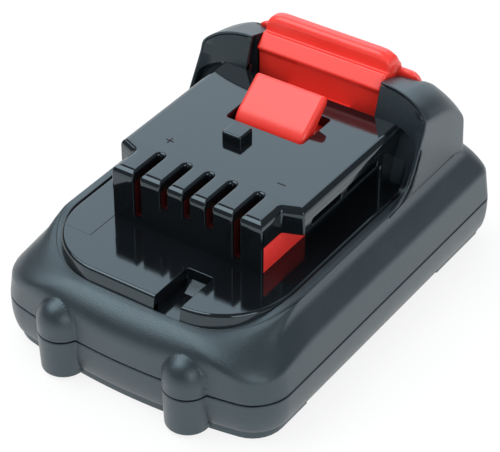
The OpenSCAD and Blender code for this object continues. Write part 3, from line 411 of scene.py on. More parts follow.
innerFinishes = {
    "contact": makeFinish("brassContact", (0.60, 0.42, 0.16), (0.72, 0.52, 0.22), (0.2, 0.32), metal=1.0,
                          bump=0.05),
    "board": makeFinish("circuitBoard", (0.010, 0.075, 0.030), (0.016, 0.105, 0.045), (0.3, 0.4), bump=0.1),
    "chip": makeFinish("chipBody", (0.012, 0.012, 0.013), (0.02, 0.02, 0.022), (0.5, 0.6), bump=0.3),
    "resistor": makeFinish("firedBody", (0.26, 0.15, 0.08), (0.34, 0.21, 0.12), (0.4, 0.5)),
    "ceramic": makeFinish("glazedBody", (0.64, 0.64, 0.60), (0.74, 0.74, 0.70), (0.2, 0.3)),
    "can": makeFinish("cellCan", (0.52, 0.52, 0.52), (0.64, 0.64, 0.63), (0.25, 0.35), metal=1.0, bump=0.04),
    "sleeve": makeFinish("cellSleeve", (0.03, 0.16, 0.30), (0.04, 0.20, 0.36), (0.28, 0.36), bump=0.05),
    "insulator": makeFinish("fibreRing", (0.62, 0.62, 0.58), (0.72, 0.72, 0.68), (0.7, 0.85), bump=0.4),
    "frame": makeFinish("cellFrame", (0.64, 0.62, 0.54), (0.72, 0.70, 0.62), (0.5, 0.6), bump=0.3),
    "nickel": makeFinish("nickelStrip", (0.58, 0.57, 0.53), (0.68, 0.67, 0.63), (0.26, 0.38), metal=1.0,
                         bump=0.06),
    "red_lead": makeFinish("redLead", (0.50, 0.012, 0.012), (0.58, 0.02, 0.018), (0.4, 0.5)),
    "black_lead": makeFinish("blackLead", (0.010, 0.010, 0.011), (0.018, 0.018, 0.02), (0.4, 0.5)),
    "white_lead": makeFinish("whiteLead", (0.66, 0.66, 0.64), (0.76, 0.76, 0.74), (0.4, 0.5)),
    "yellow_lead": makeFinish("yellowLead", (0.66, 0.46, 0.03), (0.76, 0.55, 0.05), (0.4, 0.5)),
    "foam": makeFinish("foamStrip", (0.05, 0.05, 0.053), (0.09, 0.09, 0.095), (0.85, 0.95), grains=900.0,
                       bump=0.9),
    "screw": makeFinish("zincScrew", (0.44, 0.44, 0.45), (0.56, 0.56, 0.57), (0.28, 0.4), metal=1.0,
                        bump=0.06),
    "red": redFinish,
    "block": blockFinish,
    "spring": wireFinish,
    "housing": shellFinish,
    "deck": glossFinish,
}
nodeFinishes = {
    "release_latch": "red", "terminal_block": "block", "rail_deck": "deck", "lower_housing": "housing",
    "upper_housing": "housing", "circuit_board": "board", "controller_chip": "chip",
    "shunt_resistor": "resistor", "fuse": "ceramic", "capacitors": "resistor", "thermistor": "chip",
    "positive_tab": "nickel", "negative_tab": "nickel", "positive_lead": "red_lead",
    "negative_lead": "black_lead", "sense_lead_front": "white_lead", "sense_lead_rear": "yellow_lead",
    "housing_screws": "screw",
}
nodeKinds = {"contact": "contact", "latch": "spring", "mosfet": "chip", "cell": "can", "sleeve": "sleeve",
             "insulator": "insulator", "series": "nickel", "foam": "foam"}
for nodeName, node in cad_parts.items():
    kind = "frame" if nodeName.startswith("cell_frame") else nodeKinds.get(nodeName.split("_")[0])
    node.data.materials.clear()
    node.data.materials.append(innerFinishes[nodeFinishes.get(nodeName, kind)])
print("finishes made:", len(bpy.data.materials))


# Plan of a moulding: a front bowed on a large radius, round front corners, straight sides, round rear corners
def planLoop(halfWidth, front, rear, bow, frontR, rearR, counts=(120, 18, 30, 10, 16)):
    nBow, nFront, nSide, nRear, nBack = counts
    cx = halfWidth - frontR
    cy = front + bow - math.sqrt((bow - frontR) ** 2 - cx * cx)
    turn = math.atan2(cy - front - bow, cx)
    a = np.linspace(-math.pi / 2, turn, nBow, endpoint=False)
    b = np.linspace(turn, 0, nFront)
    c = np.linspace(0, math.pi / 2, nRear)
    sideY = np.linspace(cy, rear - rearR, nSide + 2)[1:-1]
    backX = np.linspace(halfWidth - rearR, 0, nBack + 1)[1:]
    half = np.concatenate([
        np.stack([bow * np.cos(a), front + bow + bow * np.sin(a)], 1),
        np.stack([cx + frontR * np.cos(b), cy + frontR * np.sin(b)], 1),
        np.stack([np.full(nSide, halfWidth), sideY], 1),
        np.stack([halfWidth - rearR + rearR * np.cos(c), rear - rearR + rearR * np.sin(c)], 1),
        np.stack([backX, np.full(nBack, rear)], 1),
    ])
    other = half[1:-1][::-1] * np.array([-1, 1])
    return np.concatenate([half, other])


screwPost = {
    "x": 15.25,
    "y": -41.2,
    "radius": 5.05,
    "draft": 0.4,      # narrower at the foot by this
    "domeFrom": 2.6,   # straight above the parting line, then a dome
    "blend": 0.7,      # soft join with the wall
    "reach": 1.5,      # the join ends this far behind the post's axis
    "foot": 0.6, "footRound": 0.6,
}


# Front wall with the two screw posts standing out of it: the nearer of wall and post, joined softly
def withPosts(loop, z, shrink):
    s = screwPost
    x, y = loop[:, 0], loop[:, 1]
    away = np.abs(np.abs(x) - s["x"])
    rise = np.maximum(z - pack["split"] - s["domeFrom"], 0)
    low = np.maximum(pack["split"] - z, 0) / pack["split"]
    radius = s["radius"] - shrink - s["draft"] * low
    room = radius ** 2 - away ** 2 - rise ** 2
    face = s["y"] - np.sqrt(np.maximum(room, 0))
    h = np.clip(0.5 + 0.5 * (face - y) / s["blend"], 0, 1)
    joined = face * (1 - h) + y * h - s["blend"] * h * (1 - h)
    joined = np.where((room > 0) & (y < s["y"] + s["reach"]), joined, y)
    return np.column_stack([x, joined, z])


lowerShell = {
    "bow": 130.0, "frontR": 8.75, "rearR": 3.5, "leastR": 1.0,
    "hem": 2.3, "hemIn": 0.95, "hemRound": 0.3, "hemStep": 0.12, "underIn": 1.6,
    "wallFrom": 0.06, "wallRings": 14,
    "footIn": 1.9, "footLength": 18.0, "footHigh": 1.2,
    "footEdge": 0.25, "footShrink": 0.994, "footSink": 0.2,
    "seam": 0.17,     # half of the groove at the parting line
    "seamRound": 0.22,
    "lipIn": 0.85, "lipHigh": 1.2,
    "inside": ((0.3, 5.5), (0.9, 3.4), (1.6, 2.8)),     # how far inside the wall, at a height
}


# plan of the lower housing, drawn in by d, with the posts drawn in by another distance
def lowerRing(d, z, postIn=0.0):
    s = lowerShell
    loop = planLoop(pack["halfWidth"] - d, pack["front"] + d, pack["rear"] - d, s["bow"] - d,
                    s["frontR"] - d, max(s["leastR"], s["rearR"] - d))
    return withPosts(loop, np.full(len(loop), float(z)), postIn)


# Lower housing: rings go from the underside up the wall, over the seam and its lip, and down the inside to
# the floor. The wall draws in towards its hem with the cube of the depth.
def makeLowerHousing():
    s, wall = lowerShell, pack["wall"]
    top, lipTop = pack["split"] - s["seam"], pack["split"] + s["lipHigh"]
    inward, drop = edgeRound(4)
    rows = [(s["underIn"], s["footHigh"]), (s["underIn"], s["hem"] - s["hemStep"]),
            (s["underIn"] - s["hemStep"], s["hem"] - 2 * hair)]
    r = s["hemRound"]
    rows += [(s["hemIn"] + r * i, s["hem"] + r * d) for i, d in zip(inward[::-1], drop[::-1])]
    r = s["seamRound"]
    rise = top - r - s["hem"]
    rows += [(s["hemIn"] * (1 - u) ** 3, s["hem"] + rise * u)
             for u in np.linspace(s["wallFrom"], 1, s["wallRings"])]
    rings = [lowerRing(d, z) for d, z in rows]
    rows = [(r * i, top - r * d) for i, d in zip(inward[1:], drop[1:])]
    rows += [(s["lipIn"], top), (s["lipIn"], lipTop), (wall, lipTop), (wall, top)]
    rows += [(wall + d, z) for d, z in s["inside"]]
    return stackedSolid(rings + [lowerRing(d, z, d) for d, z in rows])


# Feet: the plan drawn in, clipped to a length at the front and at the rear
def makeFeet():
    s = lowerShell
    d, length = s["footIn"], s["footLength"]
    plan = planLoop(pack["halfWidth"] - d, pack["front"] + d, pack["rear"] - d, s["bow"], s["frontR"] - d,
                    s["rearR"] - d, counts=(12, 8, 4, 6, 4))
    levels = [(s["footShrink"], 0.0), (1.0, s["footEdge"]), (1.0, s["footHigh"] + s["footSink"])]
    feet = []
    for low, high in ((pack["front"], pack["front"] + d + length), (pack["rear"] - d - length, pack["rear"])):
        base = np.column_stack([plan[:, 0], np.clip(plan[:, 1], low, high)])
        middle = np.array([0, (low + high) / 2])
        feet.append(stackedSolid([np.column_stack([middle + (base - middle) * k, np.full(len(base), z)])
                                  for k, z in levels]))
    return feet


# round feet of the screw posts
def makePostFeet():
    s, r = screwPost, screwPost["footRound"]
    radius = s["radius"] - s["draft"] * (1 - lowerShell["footHigh"] / pack["split"])
    a = np.linspace(0, math.pi / 2, 6)
    profile = [(radius - r + r * np.sin(v), s["foot"] + r - r * np.cos(v)) for v in a]
    profile.append((radius, lowerShell["footHigh"] + pack["sink"]))
    return [turnedSolid(side * s["x"], s["y"], profile) for side in (-1, 1)]


screw = {"headHole": 2.6, "from": -3.0, "to": screwLow[2] + 2 * hair,
         "rearX": 25.5, "rearY": pack["rear"] - 7.4}


# holes in the underside for the screws' heads
def screwHoles():
    s = screw
    bore = [(s["headHole"], s["from"]), (s["headHole"], s["to"])]
    spots = ((screwPost["x"], screwPost["y"]), (s["rearX"], s["rearY"]))
    return [turnedSolid(side * x, y, bore, 40) for x, y in spots for side in (-1, 1)]


addPiece("lowerShell", [makeLowerHousing()] + makeFeet() + makePostFeet(), "pack", ["lower_housing"],
         "housing", shellFinish, cutters=screwHoles())
print("lower shell made")


upperShell = {
    "shoulder": 14.5,      # the front starts to lean in here
    "arcShare": 0.9,       # of a quarter ellipse, so that the rim still slopes
    "frontRimDrop": 3.1,   # front rim below the deck
    "frontRimBack": 6.0,   # front rim behind the wall
    "frontLip": 0.25, "sideLip": 1.9,
    "deckBow": 520.0, "deckCorner": 15.0, "rimCorner": 16.6,
    "rearRim": 42.6, "rearCorner": 7.0,
    "rimRound": (0.45, 0.1), "innerRound": (0.2, 0.05),     # at the sides and at the front
    "ledge": 1.5, "frontSeat": 0.6, "frontLedge": 0.9,
    "rings": 46, "topShare": 0.975,
    "insideShare": 0.55, "insideHigh": 16.5, "insideFoot": 1.5, "lipGap": 0.1,
    "profileZ": (0.0, 9.9, 16.8, 21.6, 23.9, 40.0),      # height against how far the sides lean in
    "profileIn": (-1.3, 0.0, 0.95, 4.6, 5.1, 5.6),
    "softness": 0.6, "softSteps": 13,
}


# how far the sides lean in at a height: straight runs with their knees rounded by a running mean
def sideIn(z):
    s = upperShell
    reach = np.linspace(-s["softness"], s["softness"], s["softSteps"])
    here, foot = (np.mean(np.interp(level + reach, s["profileZ"], s["profileIn"]))
                  for level in (z, pack["split"]))
    return float(here - foot)


# Ring of the upper housing at share t of its height: part of an ellipse draws the front in, the side profile
# the sides, and the front rim lies lower than the sides'
def upperRing(t, side=0.0, front=0.0, downSide=0.0, downFront=0.0, level=None):
    s, low = upperShell, pack["split"]
    rim, frontRim = pack["deckTop"], pack["deckTop"] - s["frontRimDrop"]
    zSide, zFront = low + (rim - low) * t, low + (frontRim - low) * t
    u = s["arcShare"] * min(max((zFront - s["shoulder"]) / (frontRim - s["shoulder"]), 0), 1)
    share = (1 - math.sqrt(1 - u * u)) / (1 - math.sqrt(1 - s["arcShare"] ** 2))
    rimCorner = s["rimCorner"] + (s["sideLip"] + s["frontLip"]) / 2
    corner = lowerShell["frontR"] + (rimCorner - lowerShell["frontR"]) * share
    rearCorner = lowerShell["rearR"] + (s["rearCorner"] - lowerShell["rearR"]) * share
    loop = planLoop(
        pack["halfWidth"] - sideIn(zSide) - side, pack["front"] + s["frontRimBack"] * share + front,
        pack["rear"] - (pack["rear"] - s["rearRim"]) * share - side,
        lowerShell["bow"] + (s["deckBow"] - lowerShell["bow"]) * share,
        corner - (side + front) / 2, rearCorner - side)
    zFront, zSide = zFront - downFront, zSide - downSide
    z = zFront + (zSide - zFront) * ease((loop[:, 1] - pack["deckFront"]) / s["deckCorner"])
    if level is not None:
        z = np.full(len(loop), float(level))
    return withPosts(loop, z, max(side, front))


# Upper housing: rings go up the outside, over the rim, down to the ledge under the deck and down the inside
def makeUpperHousing():
    s, wall = upperShell, pack["wall"]
    inward, drop = edgeRound(4)
    r, low = lowerShell["seamRound"], pack["split"] + lowerShell["seam"]
    rings = [upperRing(0, r * i, r * i, level=low + r * d) for i, d in zip(inward[:0:-1], drop[:0:-1])]
    shares = np.linspace(0, 1, s["rings"]) * s["topShare"]
    seamTop = (low + r - pack["split"]) / (pack["deckTop"] - pack["split"])
    rings += [upperRing(t) for t in shares[shares > seamTop]]
    side, front = s["rimRound"]
    rings += [upperRing(1, side * i, front * i, side * d, front * d) for i, d in zip(inward, drop)]
    side, front = s["innerRound"]
    rings += [upperRing(1, s["sideLip"] - side * i, s["frontLip"] - front * i, side * d, front * d)
              for i, d in zip(inward[::-1], drop[::-1])]
    seat, ledge = pack["deckTop"] - pack["deckUnder"], s["ledge"]
    steps = ((0, seat, s["frontSeat"]), (ledge, seat, s["frontSeat"]), (ledge, seat + ledge, s["frontLedge"]))
    rings += [upperRing(1, s["sideLip"] + d, s["frontLip"] + d, down, frontDown)
              for d, down, frontDown in steps]
    lip, lipTop = lowerShell["lipIn"] - s["lipGap"], pack["split"] + s["insideFoot"]
    steps = ((s["insideShare"], wall, s["insideHigh"]), (0, wall, lipTop), (0, lip, lipTop), (0, lip, low))
    rings += [upperRing(t, d, d, level=z) for t, d, z in steps]
    rings = np.array(rings)
    return rings.reshape(-1, 3), gridQuads(len(rings), rings.shape[1], closeRows=True)


rearPost = {
    "inner": 15.9, "topX": 27.8, "crease": 20.0,
    "flankZ": (19.7, 21.6, 23.9), "flankX": (28.69, 28.69, 28.19),     # just outside the upper shell
    "high": 7.1,             # above the plate
    "base": 19.7,
    "rear": 43.2,
    "lean": 0.31,
    "lip": 0.5, "lipStep": 0.1, "edge": 0.22,
    "recess": 28.4,          # floor of the pocket that holds the bulkhead
    "fullness": 3.4,
    "cornerR": 2.6, "cornerFrom": 20.0, "cornerBlend": 8.0,
    # front edge of the flank
    "wingZ": (19.7, 23.7, 23.95, 24.2, 24.7, 25.4, 26.4, 28.9, 32.6, 36.0, 38.3),
    "wingY": (9.0, 10.0, 12.6, 14.6, 16.4, 17.7, 18.95, 20.6, 22.6, 24.42, 25.15),
    "flankFrom": 26.6, "flankBlend": 1.0,
    "tiltX": (16.0, 21.5, 28.0), "tilt": (0.27, 0.15, 0.20),
    "topPoints": 60, "flankPoints": 70, "middlePoints": 13, "softPoints": 3, "rows": 44,
}


# rounds a line of points by a running mean along its length, with its ends kept
def soften(line, width):
    keep = np.pad(line, ((width, width), (0, 0)), mode="edge")
    sums = np.cumsum(np.vstack([np.zeros((1, line.shape[1])), keep]), 0)
    mean = (sums[2 * width + 1:] - sums[:-2 * width - 1]) / (2 * width + 1)
    edge = np.minimum(np.arange(len(line)), np.arange(len(line))[::-1]) / width
    w = np.clip(edge, 0, 1)[:, None]
    return mean * w + line * (1 - w)


# front view of the posts from the left foot over the top to the right foot: straight flanks and elliptic tops
def postFront(inset=0.0):
    s = rearPost
    crease = math.radians(s["crease"])
    reach = (s["topX"] - s["inner"]) / math.cos(crease)
    a = np.linspace(crease, math.pi / 2, s["topPoints"])
    top = np.stack([s["inner"] + reach * np.cos(a), pack["plate"] + s["high"] * np.sin(a)], 1)
    z = np.linspace(s["base"], top[0, 1], s["flankPoints"])
    flankX = np.interp(z, [*s["flankZ"], top[0, 1]], [*s["flankX"], s["topX"]])
    half = soften(np.concatenate([np.stack([flankX, z], 1)[:-1], top]), s["softPoints"])
    middle = np.linspace(s["inner"], 0, s["middlePoints"] + 1)[1:]
    half = np.concatenate([half, np.stack([middle, np.full(len(middle), half[-1, 1])], 1)])
    whole = np.concatenate([half * np.array([-1, 1]), half[:-1][::-1]])
    if inset:
        along = np.gradient(whole, axis=0)
        along /= np.linalg.norm(along, axis=1, keepdims=True)
        whole = whole - inset * np.stack([-along[:, 1], along[:, 0]], 1)
        whole[:, 1] = np.maximum(whole[:, 1], s["base"])
    return whole


# The posts' block before the button's well is cut: every point of the front view runs back on a full ellipse
# that tilts down, to the rear wall at the base. The front has a lip round a recess for the bulkhead.
def makeRearPosts():
    s = rearPost
    outer, inner = postFront(), postFront(s["lip"])
    x, z = outer[:, 0], outer[:, 1]
    leanY = pack["plateRear"] + s["lean"] * (z - pack["plate"])
    wingY = np.interp(z, s["wingZ"], s["wingY"])
    flank = ease((np.abs(x) - s["flankFrom"]) / s["flankBlend"])
    start = leanY * (1 - flank) + wingY * flank
    tilt = np.interp(np.abs(x), s["tiltX"], s["tilt"])
    phi = np.linspace(0, math.pi / 2, s["rows"])[:, None]
    run = s["rear"] - start
    share = np.sin(phi) ** (2 / s["fullness"])
    y = start + run * share
    height = np.maximum(z - s["base"] - tilt * run * share, 0)
    zBack = s["base"] + height * np.cos(phi) ** (2 / s["fullness"])
    over = np.clip((y - (s["rear"] - s["cornerR"])) / s["cornerR"], 0, 1)
    outside = ease((np.abs(x) - s["cornerFrom"]) / s["cornerBlend"])
    corner = s["cornerR"] * (1 - np.sqrt(1 - over ** 2)) * outside
    skin = np.stack([x - np.sign(x) * corner, y, zBack], -1)
    toIn = (inner - outer) / s["lip"]
    lip = [np.column_stack([inner, np.full(len(x), s["recess"])]),
           np.column_stack([inner, start + s["lipStep"]]),
           np.column_stack([inner - toIn * s["lipStep"], start])]
    edge = [np.column_stack([outer + toIn * s["edge"] * d, start + s["edge"] * i])
            for i, d in zip(*edgeRound(4))]
    rows = np.array([row[:, [0, 2, 1]] for row in lip + edge] + list(skin[1:]))
    last, count = len(rows) - 1, rows.shape[1]
    faces = gridQuads(len(rows), count, closeColumns=False)
    leftEdge = [k * count for k in range(last)]
    rearEdge = [last * count + k for k in range(count)]
    rightEdge = [k * count + count - 1 for k in range(last - 1, -1, -1)]
    faces += [list(range(count))[::-1], leftEdge + rearEdge + rightEdge]
    return rows.reshape(-1, 3), faces


well = {"front": 5.0, "rear": 40.0, "low": 24.6, "padHalf": 20.4, "padFront": 34.3, "padLow": 31.2,
        "open": 60.0,     # beyond the posts
        "corner": 0.6}


# room for the button between the posts, for its wide rear pad, and open behind above the rear lip
def latchWell():
    s = well
    rooms = ((rearPost["inner"], s["front"], s["rear"], s["low"]),
             (s["padHalf"], s["padFront"], s["rear"], s["low"]),
             (s["padHalf"], s["padFront"], s["open"], s["padLow"]))
    return [filletedBlock(rectangle(-half, front, half, rear, s["corner"]), low, s["open"], 0)
            for half, front, rear, low in rooms]


addPiece("upperShell", [makeUpperHousing()], "pack", ["upper_housing"], "housing", shellFinish)
addPiece("rearPosts", [makeRearPosts()], "pack", ["upper_housing"], "housing", shellFinish,
         cutters=latchWell())
print("upper shell and posts made")


deck = {
    "halfWidth": deckHigh[0], "front": deckLow[1], "rear": pack["plateRear"],
    "corner": 15.0, "rearCorner": 0.5, "arcSteps": 16, "edge": 0.65,
    "bow": 520.0, "bowFrom": -18.0, "bowBlend": 12.0,
    "skirtDeep": 3.6, "skirtBack": -27.5, "skirtWide": 1.5,
    "draft": 0.14, "leanFrom": -24.0, "leanBlend": 9.0,
    "keyLeft": 4.65, "keyRight": 10.75, "keyRear": deckLow[1] + 11.4, "keyDepth": 3.4,
    "keyEdge": 0.16, "keyCorner": 0.45, "keyMouth": 0.1,
    "tub": 0.25, "tubFloor": 0.16, "tubCorner": 0.3, "tubMouth": 0.05,
    "rampLength": 3.1, "rampHigh": 1.0, "rampCut": 1.7,   # small ramp in the keyway's rear corner
}
deck["edgeY"] = deck["front"] + deck["halfWidth"] ** 2 / (2 * deck["bow"])     # front edge before it is bowed


# the deck's front bows out by the rise of its large radius, and leans out towards its foot
def bowFront(points):
    s = deck
    x, y, z = points.T
    sag = (s["halfWidth"] ** 2 - x ** 2) / (2 * s["bow"])
    lean = s["draft"] * (pack["deckTop"] - z) * ease((s["leanFrom"] - y) / s["leanBlend"])
    return np.stack([x, y - (sag * ease((s["bowFrom"] - y) / s["bowBlend"]) + lean), z], 1)


# corners of the keyway, from its left mouth round its rear to its right mouth
def keyNotch():
    s = deck
    return [(s["keyLeft"], s["edgeY"], s["keyMouth"]), (s["keyLeft"], s["keyRear"], s["keyCorner"]),
            (s["keyRight"], s["keyRear"], s["keyCorner"]), (s["keyRight"], s["edgeY"], s["keyMouth"])]


# Deck: a sheet with round edges, open at the front for the keyway, and a skirt under its front edge on both
# sides. The skirt lies between the sheet's edge and the same line drawn in, round to behind the front corner.
def makeSheet():
    s = deck
    half, edgeY, steps, wide = s["halfWidth"], s["edgeY"], s["arcSteps"], s["skirtWide"]
    outline = [(half, edgeY, s["corner"]), (half, s["rear"], s["rearCorner"]),
               (-half, s["rear"], s["rearCorner"]), (-half, edgeY, s["corner"])]
    edges = [s["keyEdge"]] * 3 + [s["edge"]] * 5
    sheet = filletedBlock(keyNotch() + outline, pack["deckUnder"], pack["deckTop"], edges, arcSteps=steps)
    corners = [roundedLoop(outline, inset, steps)[:steps + 1] for inset in (0, wide)]
    arc, within = (line[line[:, 1] < s["skirtBack"]] for line in corners)
    x0, x1 = s["keyLeft"], s["keyRight"]
    right = np.vstack([[x1, edgeY], arc, within[::-1], [x1, edgeY + wide]])
    left = np.vstack([[x0, edgeY + wide], within * [-1, 1], arc[::-1] * [-1, 1], [x0, edgeY]])
    foot, top = pack["deckTop"] - s["skirtDeep"], pack["deckUnder"] + hair
    return [sheet, prism(right, foot, top), prism(left, foot, top)]


# Tub below the keyway: thin walls round it, a floor, and the ramp
def makeTub():
    s = deck
    x0, x1, y1, t = s["keyLeft"], s["keyRight"], s["keyRear"], s["tub"]
    floorZ = pack["deckTop"] - s["keyDepth"]
    outside = [(x1 + t, s["edgeY"], s["tubMouth"]), (x1 + t, y1 + t, s["tubCorner"]),
               (x0 - t, y1 + t, s["tubCorner"]), (x0 - t, s["edgeY"], s["tubMouth"])]
    walls = filletedBlock(outside + keyNotch(), floorZ - 2 * hair, pack["deckUnder"] + 2 * hair, 0,
                          arcSteps=s["arcSteps"])
    plan = rectangle(x0 - t, s["edgeY"], x1 + t, y1 + t, s["keyMouth"])
    plate = filletedBlock(plan, floorZ - s["tubFloor"], floorZ, 0)
    y0, low, high = y1 - s["rampLength"], floorZ - hair, floorZ + s["rampHigh"]
    ramp = np.array([(x0, y1, low), (x0 + s["rampCut"], y0, low), (x1, y0, low), (x1, y1, low),
                     (x0, y1, high), (x1, y1, high)])
    rampFaces = [[0, 3, 2, 1], [1, 2, 5, 4], [0, 1, 4], [2, 3, 5], [3, 0, 4, 5]]
    return [walls, plate, (ramp, rampFaces)]


tower = {
    "front": -19.94, "half": 18.0, "rail": 22.2,
    "noseEnd": -13.09, "taperEnd": -11.39,
    "roof": 33.5, "railUnder": 29.9, "railSink": 0.4, "wall": 1.8, "frontWall": 0.78,
    "heel": 17.0, "heelIn": 0.3, "blockGap": 0.05,
    "slots": (-11.952, -5.455, 0.0, 5.455, 11.952),
    "slotWidth": 1.7, "slotEnd": -11.08, "innerFoot": 29.75, "outerFoot": 25.3,
    "slotEdge": 0.72, "toothEdge": 1.7, "railEdge": 1.5, "rearEdge": 0.15, "underEdge": 0.3,
    "mouth": 0.5, "frontR": 0.35, "noseR": 0.5, "taperR": 0.6, "rearR": 0.3, "innerR": 0.1, "heelR": 0.8,
    "windowX": 9.2, "windowFront": 7.4, "windowRear": 18.4, "windowR": 0.7, "windowEdge": 0.3,
}


# corners and edge radii along the front of the plate, notched by the slots
def combFront():
    s = tower
    front, end, half = s["front"], s["slotEnd"], s["slotWidth"] / 2
    corners, edges = [(-s["half"], front, s["frontR"])], [s["toothEdge"]]
    for x in s["slots"]:
        corners += [(x - half, front, s["mouth"]), (x - half, end, half - 2 * hair),
                    (x + half, end, half - 2 * hair), (x + half, front, s["mouth"])]
        edges += [s["slotEdge"]] * 3 + [s["toothEdge"]]
    return corners + [(s["half"], front, s["frontR"])], edges


# corners of the rail in plan, from the tower's nose to the rear
def railPlan():
    s = tower
    return [(s["half"], s["noseEnd"], s["noseR"]), (s["rail"], s["taperEnd"], s["taperR"]),
            (s["rail"], pack["plateRear"], s["rearR"])]


# Top plate of the tower: a comb at the front, the rails' edges behind the taper, and the tongue's window
def makeTowerPlate():
    s = tower
    comb, edges = combFront()
    left = [(-x, y, r) for x, y, r in railPlan()[::-1]]
    edges += [s["railEdge"]] * 3 + [s["rearEdge"]] + [s["railEdge"]] * 3
    window = rectangle(-s["windowX"], s["windowFront"], s["windowX"], s["windowRear"], s["windowR"])[::-1]
    return filletedBlock(comb + railPlan() + left, s["roof"], pack["plate"], edges,
                         holes=[(window, s["windowEdge"])], edgeSteps=5)


# Front wall of the tower below the plate: its outer slots go deeper than the inner ones
def makeTowerFront():
    s = tower
    front, back, half, r = s["front"], s["front"] + s["frontWall"], s["slotWidth"] / 2, s["innerR"]
    bands = (((), pack["deckTop"] - pack["sink"], s["outerFoot"]),
             ((s["slots"][0], s["slots"][-1]), s["outerFoot"], s["innerFoot"]),
             (s["slots"], s["innerFoot"], s["roof"]))
    solids = []
    for slots, low, high in bands:
        ends = [-s["half"]] + [x + side * half for x in slots for side in (-1, 1)] + [s["half"]]
        for a, b in zip(ends[::2], ends[1::2]):
            plan = [(a, front, s["mouth"]), (b, front, s["mouth"]), (b, back, r), (a, back, r)]
            solids.append(filletedBlock(plan, low - hair, high, 0))
    return solids


# Rail and side wall on the right: the rail's edge strip, the wall under it and the wide heel
def makeRailSide():
    s = tower
    inner, rear = s["half"] - s["wall"], pack["plateRear"]
    low, high = pack["deckTop"] - pack["sink"], s["railUnder"] + s["railSink"]
    plan = [(inner, s["front"] + 2 * hair, s["innerR"]), (s["half"], s["front"], s["frontR"]), *railPlan(),
            (inner, rear, s["innerR"])]
    strip = filletedBlock(plan, s["railUnder"], s["roof"] + 2 * hair, 0, s["underEdge"])
    plan = rectangle(inner, blockHigh[1] + s["blockGap"], s["half"], rear, s["innerR"])
    wall = filletedBlock(plan, low, high, 0)
    plan = rectangle(inner + s["heelIn"], s["heel"], s["rail"], rear, s["heelR"])
    return strip, wall, filletedBlock(plan, low, high, 0)


railPockets = {"depth": 3.0, "beyond": 2.0, "low": 30.85, "high": 32.3, "spans": ((-8.6, 2.2), (4.4, 15.7)),
               "radius": 0.5, "edge": 0.14}


# pockets in the rail's edge, as rounded blocks pushed in from the side
def pocketCutters():
    s = railPockets
    ends = tower["rail"] - s["depth"], tower["rail"] + s["beyond"]
    return [filletedBlock(rectangle(y0, s["low"], y1, s["high"], s["radius"]), *ends, 0, axes=(1, 2, 0))
            for y0, y1 in s["spans"]]


bulkheads = {
    "inner": 15.95, "lip": 0.62, "thick": 1.2,
    "rows": 150, "columns": 120, "sink": 0.3,
    "footY": 19.5, "footLean": 0.6, "footRound": 1.1,
    "archZ": (20.0, 26.0, 29.9, 31.3, 32.0, 32.85, 33.9, 34.9, 35.45, 35.6),
    "archX": (27.2, 27.2, 27.0, 26.95, 26.9, 26.6, 25.2, 23.2, 21.6, 16.0),
    "archEdge": 0.5, "archTop": 35.45, "archStep": 0.3,
    "wingFrom": 24.5, "wingBlend": 2.5, "behind": 0.04,
}


# Bulkhead on the right: a sheet over the channel's end and the post's front, between the inner edge and the
# outline of the post drawn in. Outside the arch it follows the post's front edge, inside it lies deeper,
# leans back and is rounded at the foot.
def makeBulkhead():
    s = bulkheads
    outline = postFront(s["lip"])
    half = outline[outline[:, 0] > s["inner"]][::-1]
    order = np.argsort(half[:, 1])
    z = np.linspace(pack["deckTop"] - s["sink"], half[:, 1].max() - 2 * hair, s["rows"])[:, None]
    outer = np.interp(z[:, 0], half[order, 1], half[order, 0])[:, None]
    x = s["inner"] + (outer - s["inner"]) * np.linspace(0, 1, s["columns"])[None, :]
    leaning = pack["plateRear"] + rearPost["lean"] * (z - pack["plate"])
    edge = np.interp(z, rearPost["wingZ"], rearPost["wingY"])
    wing = ease((x - s["wingFrom"]) / s["wingBlend"])
    face = leaning * (1 - wing) + np.minimum(edge, leaning) * wing + s["behind"]
    foot = np.clip((pack["deckTop"] + s["footRound"] - z) / s["footRound"], 0, 1)
    deep = s["footY"] + s["footLean"] * (z - pack["deckTop"]) - s["footRound"] * (1 - np.sqrt(1 - foot ** 2))
    arch = np.interp(z, s["archZ"], s["archX"])
    inside = ease((arch - x) / s["archEdge"] + 0.5) * ease((s["archTop"] - z) / s["archEdge"])
    y = face * (1 - inside) + np.maximum(deep, face + s["archStep"]) * inside
    points = np.stack([x, y, np.broadcast_to(z, x.shape)], -1)
    return points.reshape(-1, 3), gridQuads(s["rows"], s["columns"], closeColumns=False)


keyBlock = {"x": -5.1, "y": -0.3, "width": 4.75, "length": 4.6, "high": 2.2,
            "edge": 0.5, "corner": 0.6, "sink": 0.3}


def makeKeyBlock():
    s = keyBlock
    return filletedBlock(rectangle(s["x"], s["y"], s["x"] + s["width"], s["y"] + s["length"], s["corner"]),
                         pack["plate"] - s["sink"], pack["plate"] + s["high"], s["edge"])


def addDeckPiece(name, solids, finish=glossFinish, **more):
    addPiece(name, solids, "pack", ["rail_deck"], "deck", finish, **more)


addDeckPiece("deckPlate", [(bowFront(points), faces) for points, faces in makeSheet() + makeTub()])
addDeckPiece("towerPlate", [makeTowerPlate(), makeKeyBlock()])
addDeckPiece("towerFront", makeTowerFront())
strip, wall, heel = makeRailSide()
bulkhead = makeBulkhead()
for side, name in ((1, "Right"), (-1, "Left")):
    turn = (lambda solid: solid) if side > 0 else mirrored
    addDeckPiece("rail" + name, [turn(strip)], cutters=[turn(c) for c in pocketCutters()],
                 bevel=railPockets["edge"])
    addDeckPiece("towerSide" + name, [turn(wall), turn(heel)])
    addDeckPiece("bulkhead" + name, [turn(bulkhead)], bulkheadFinish, solid=bulkheads["thick"])
print("deck, tower and rails made")


polarityMarks = {"x": 13.5, "y": -6.3, "reach": 0.95, "stroke": 0.36, "high": 0.05,
                 "corner": 0.08, "edge": 0.02}


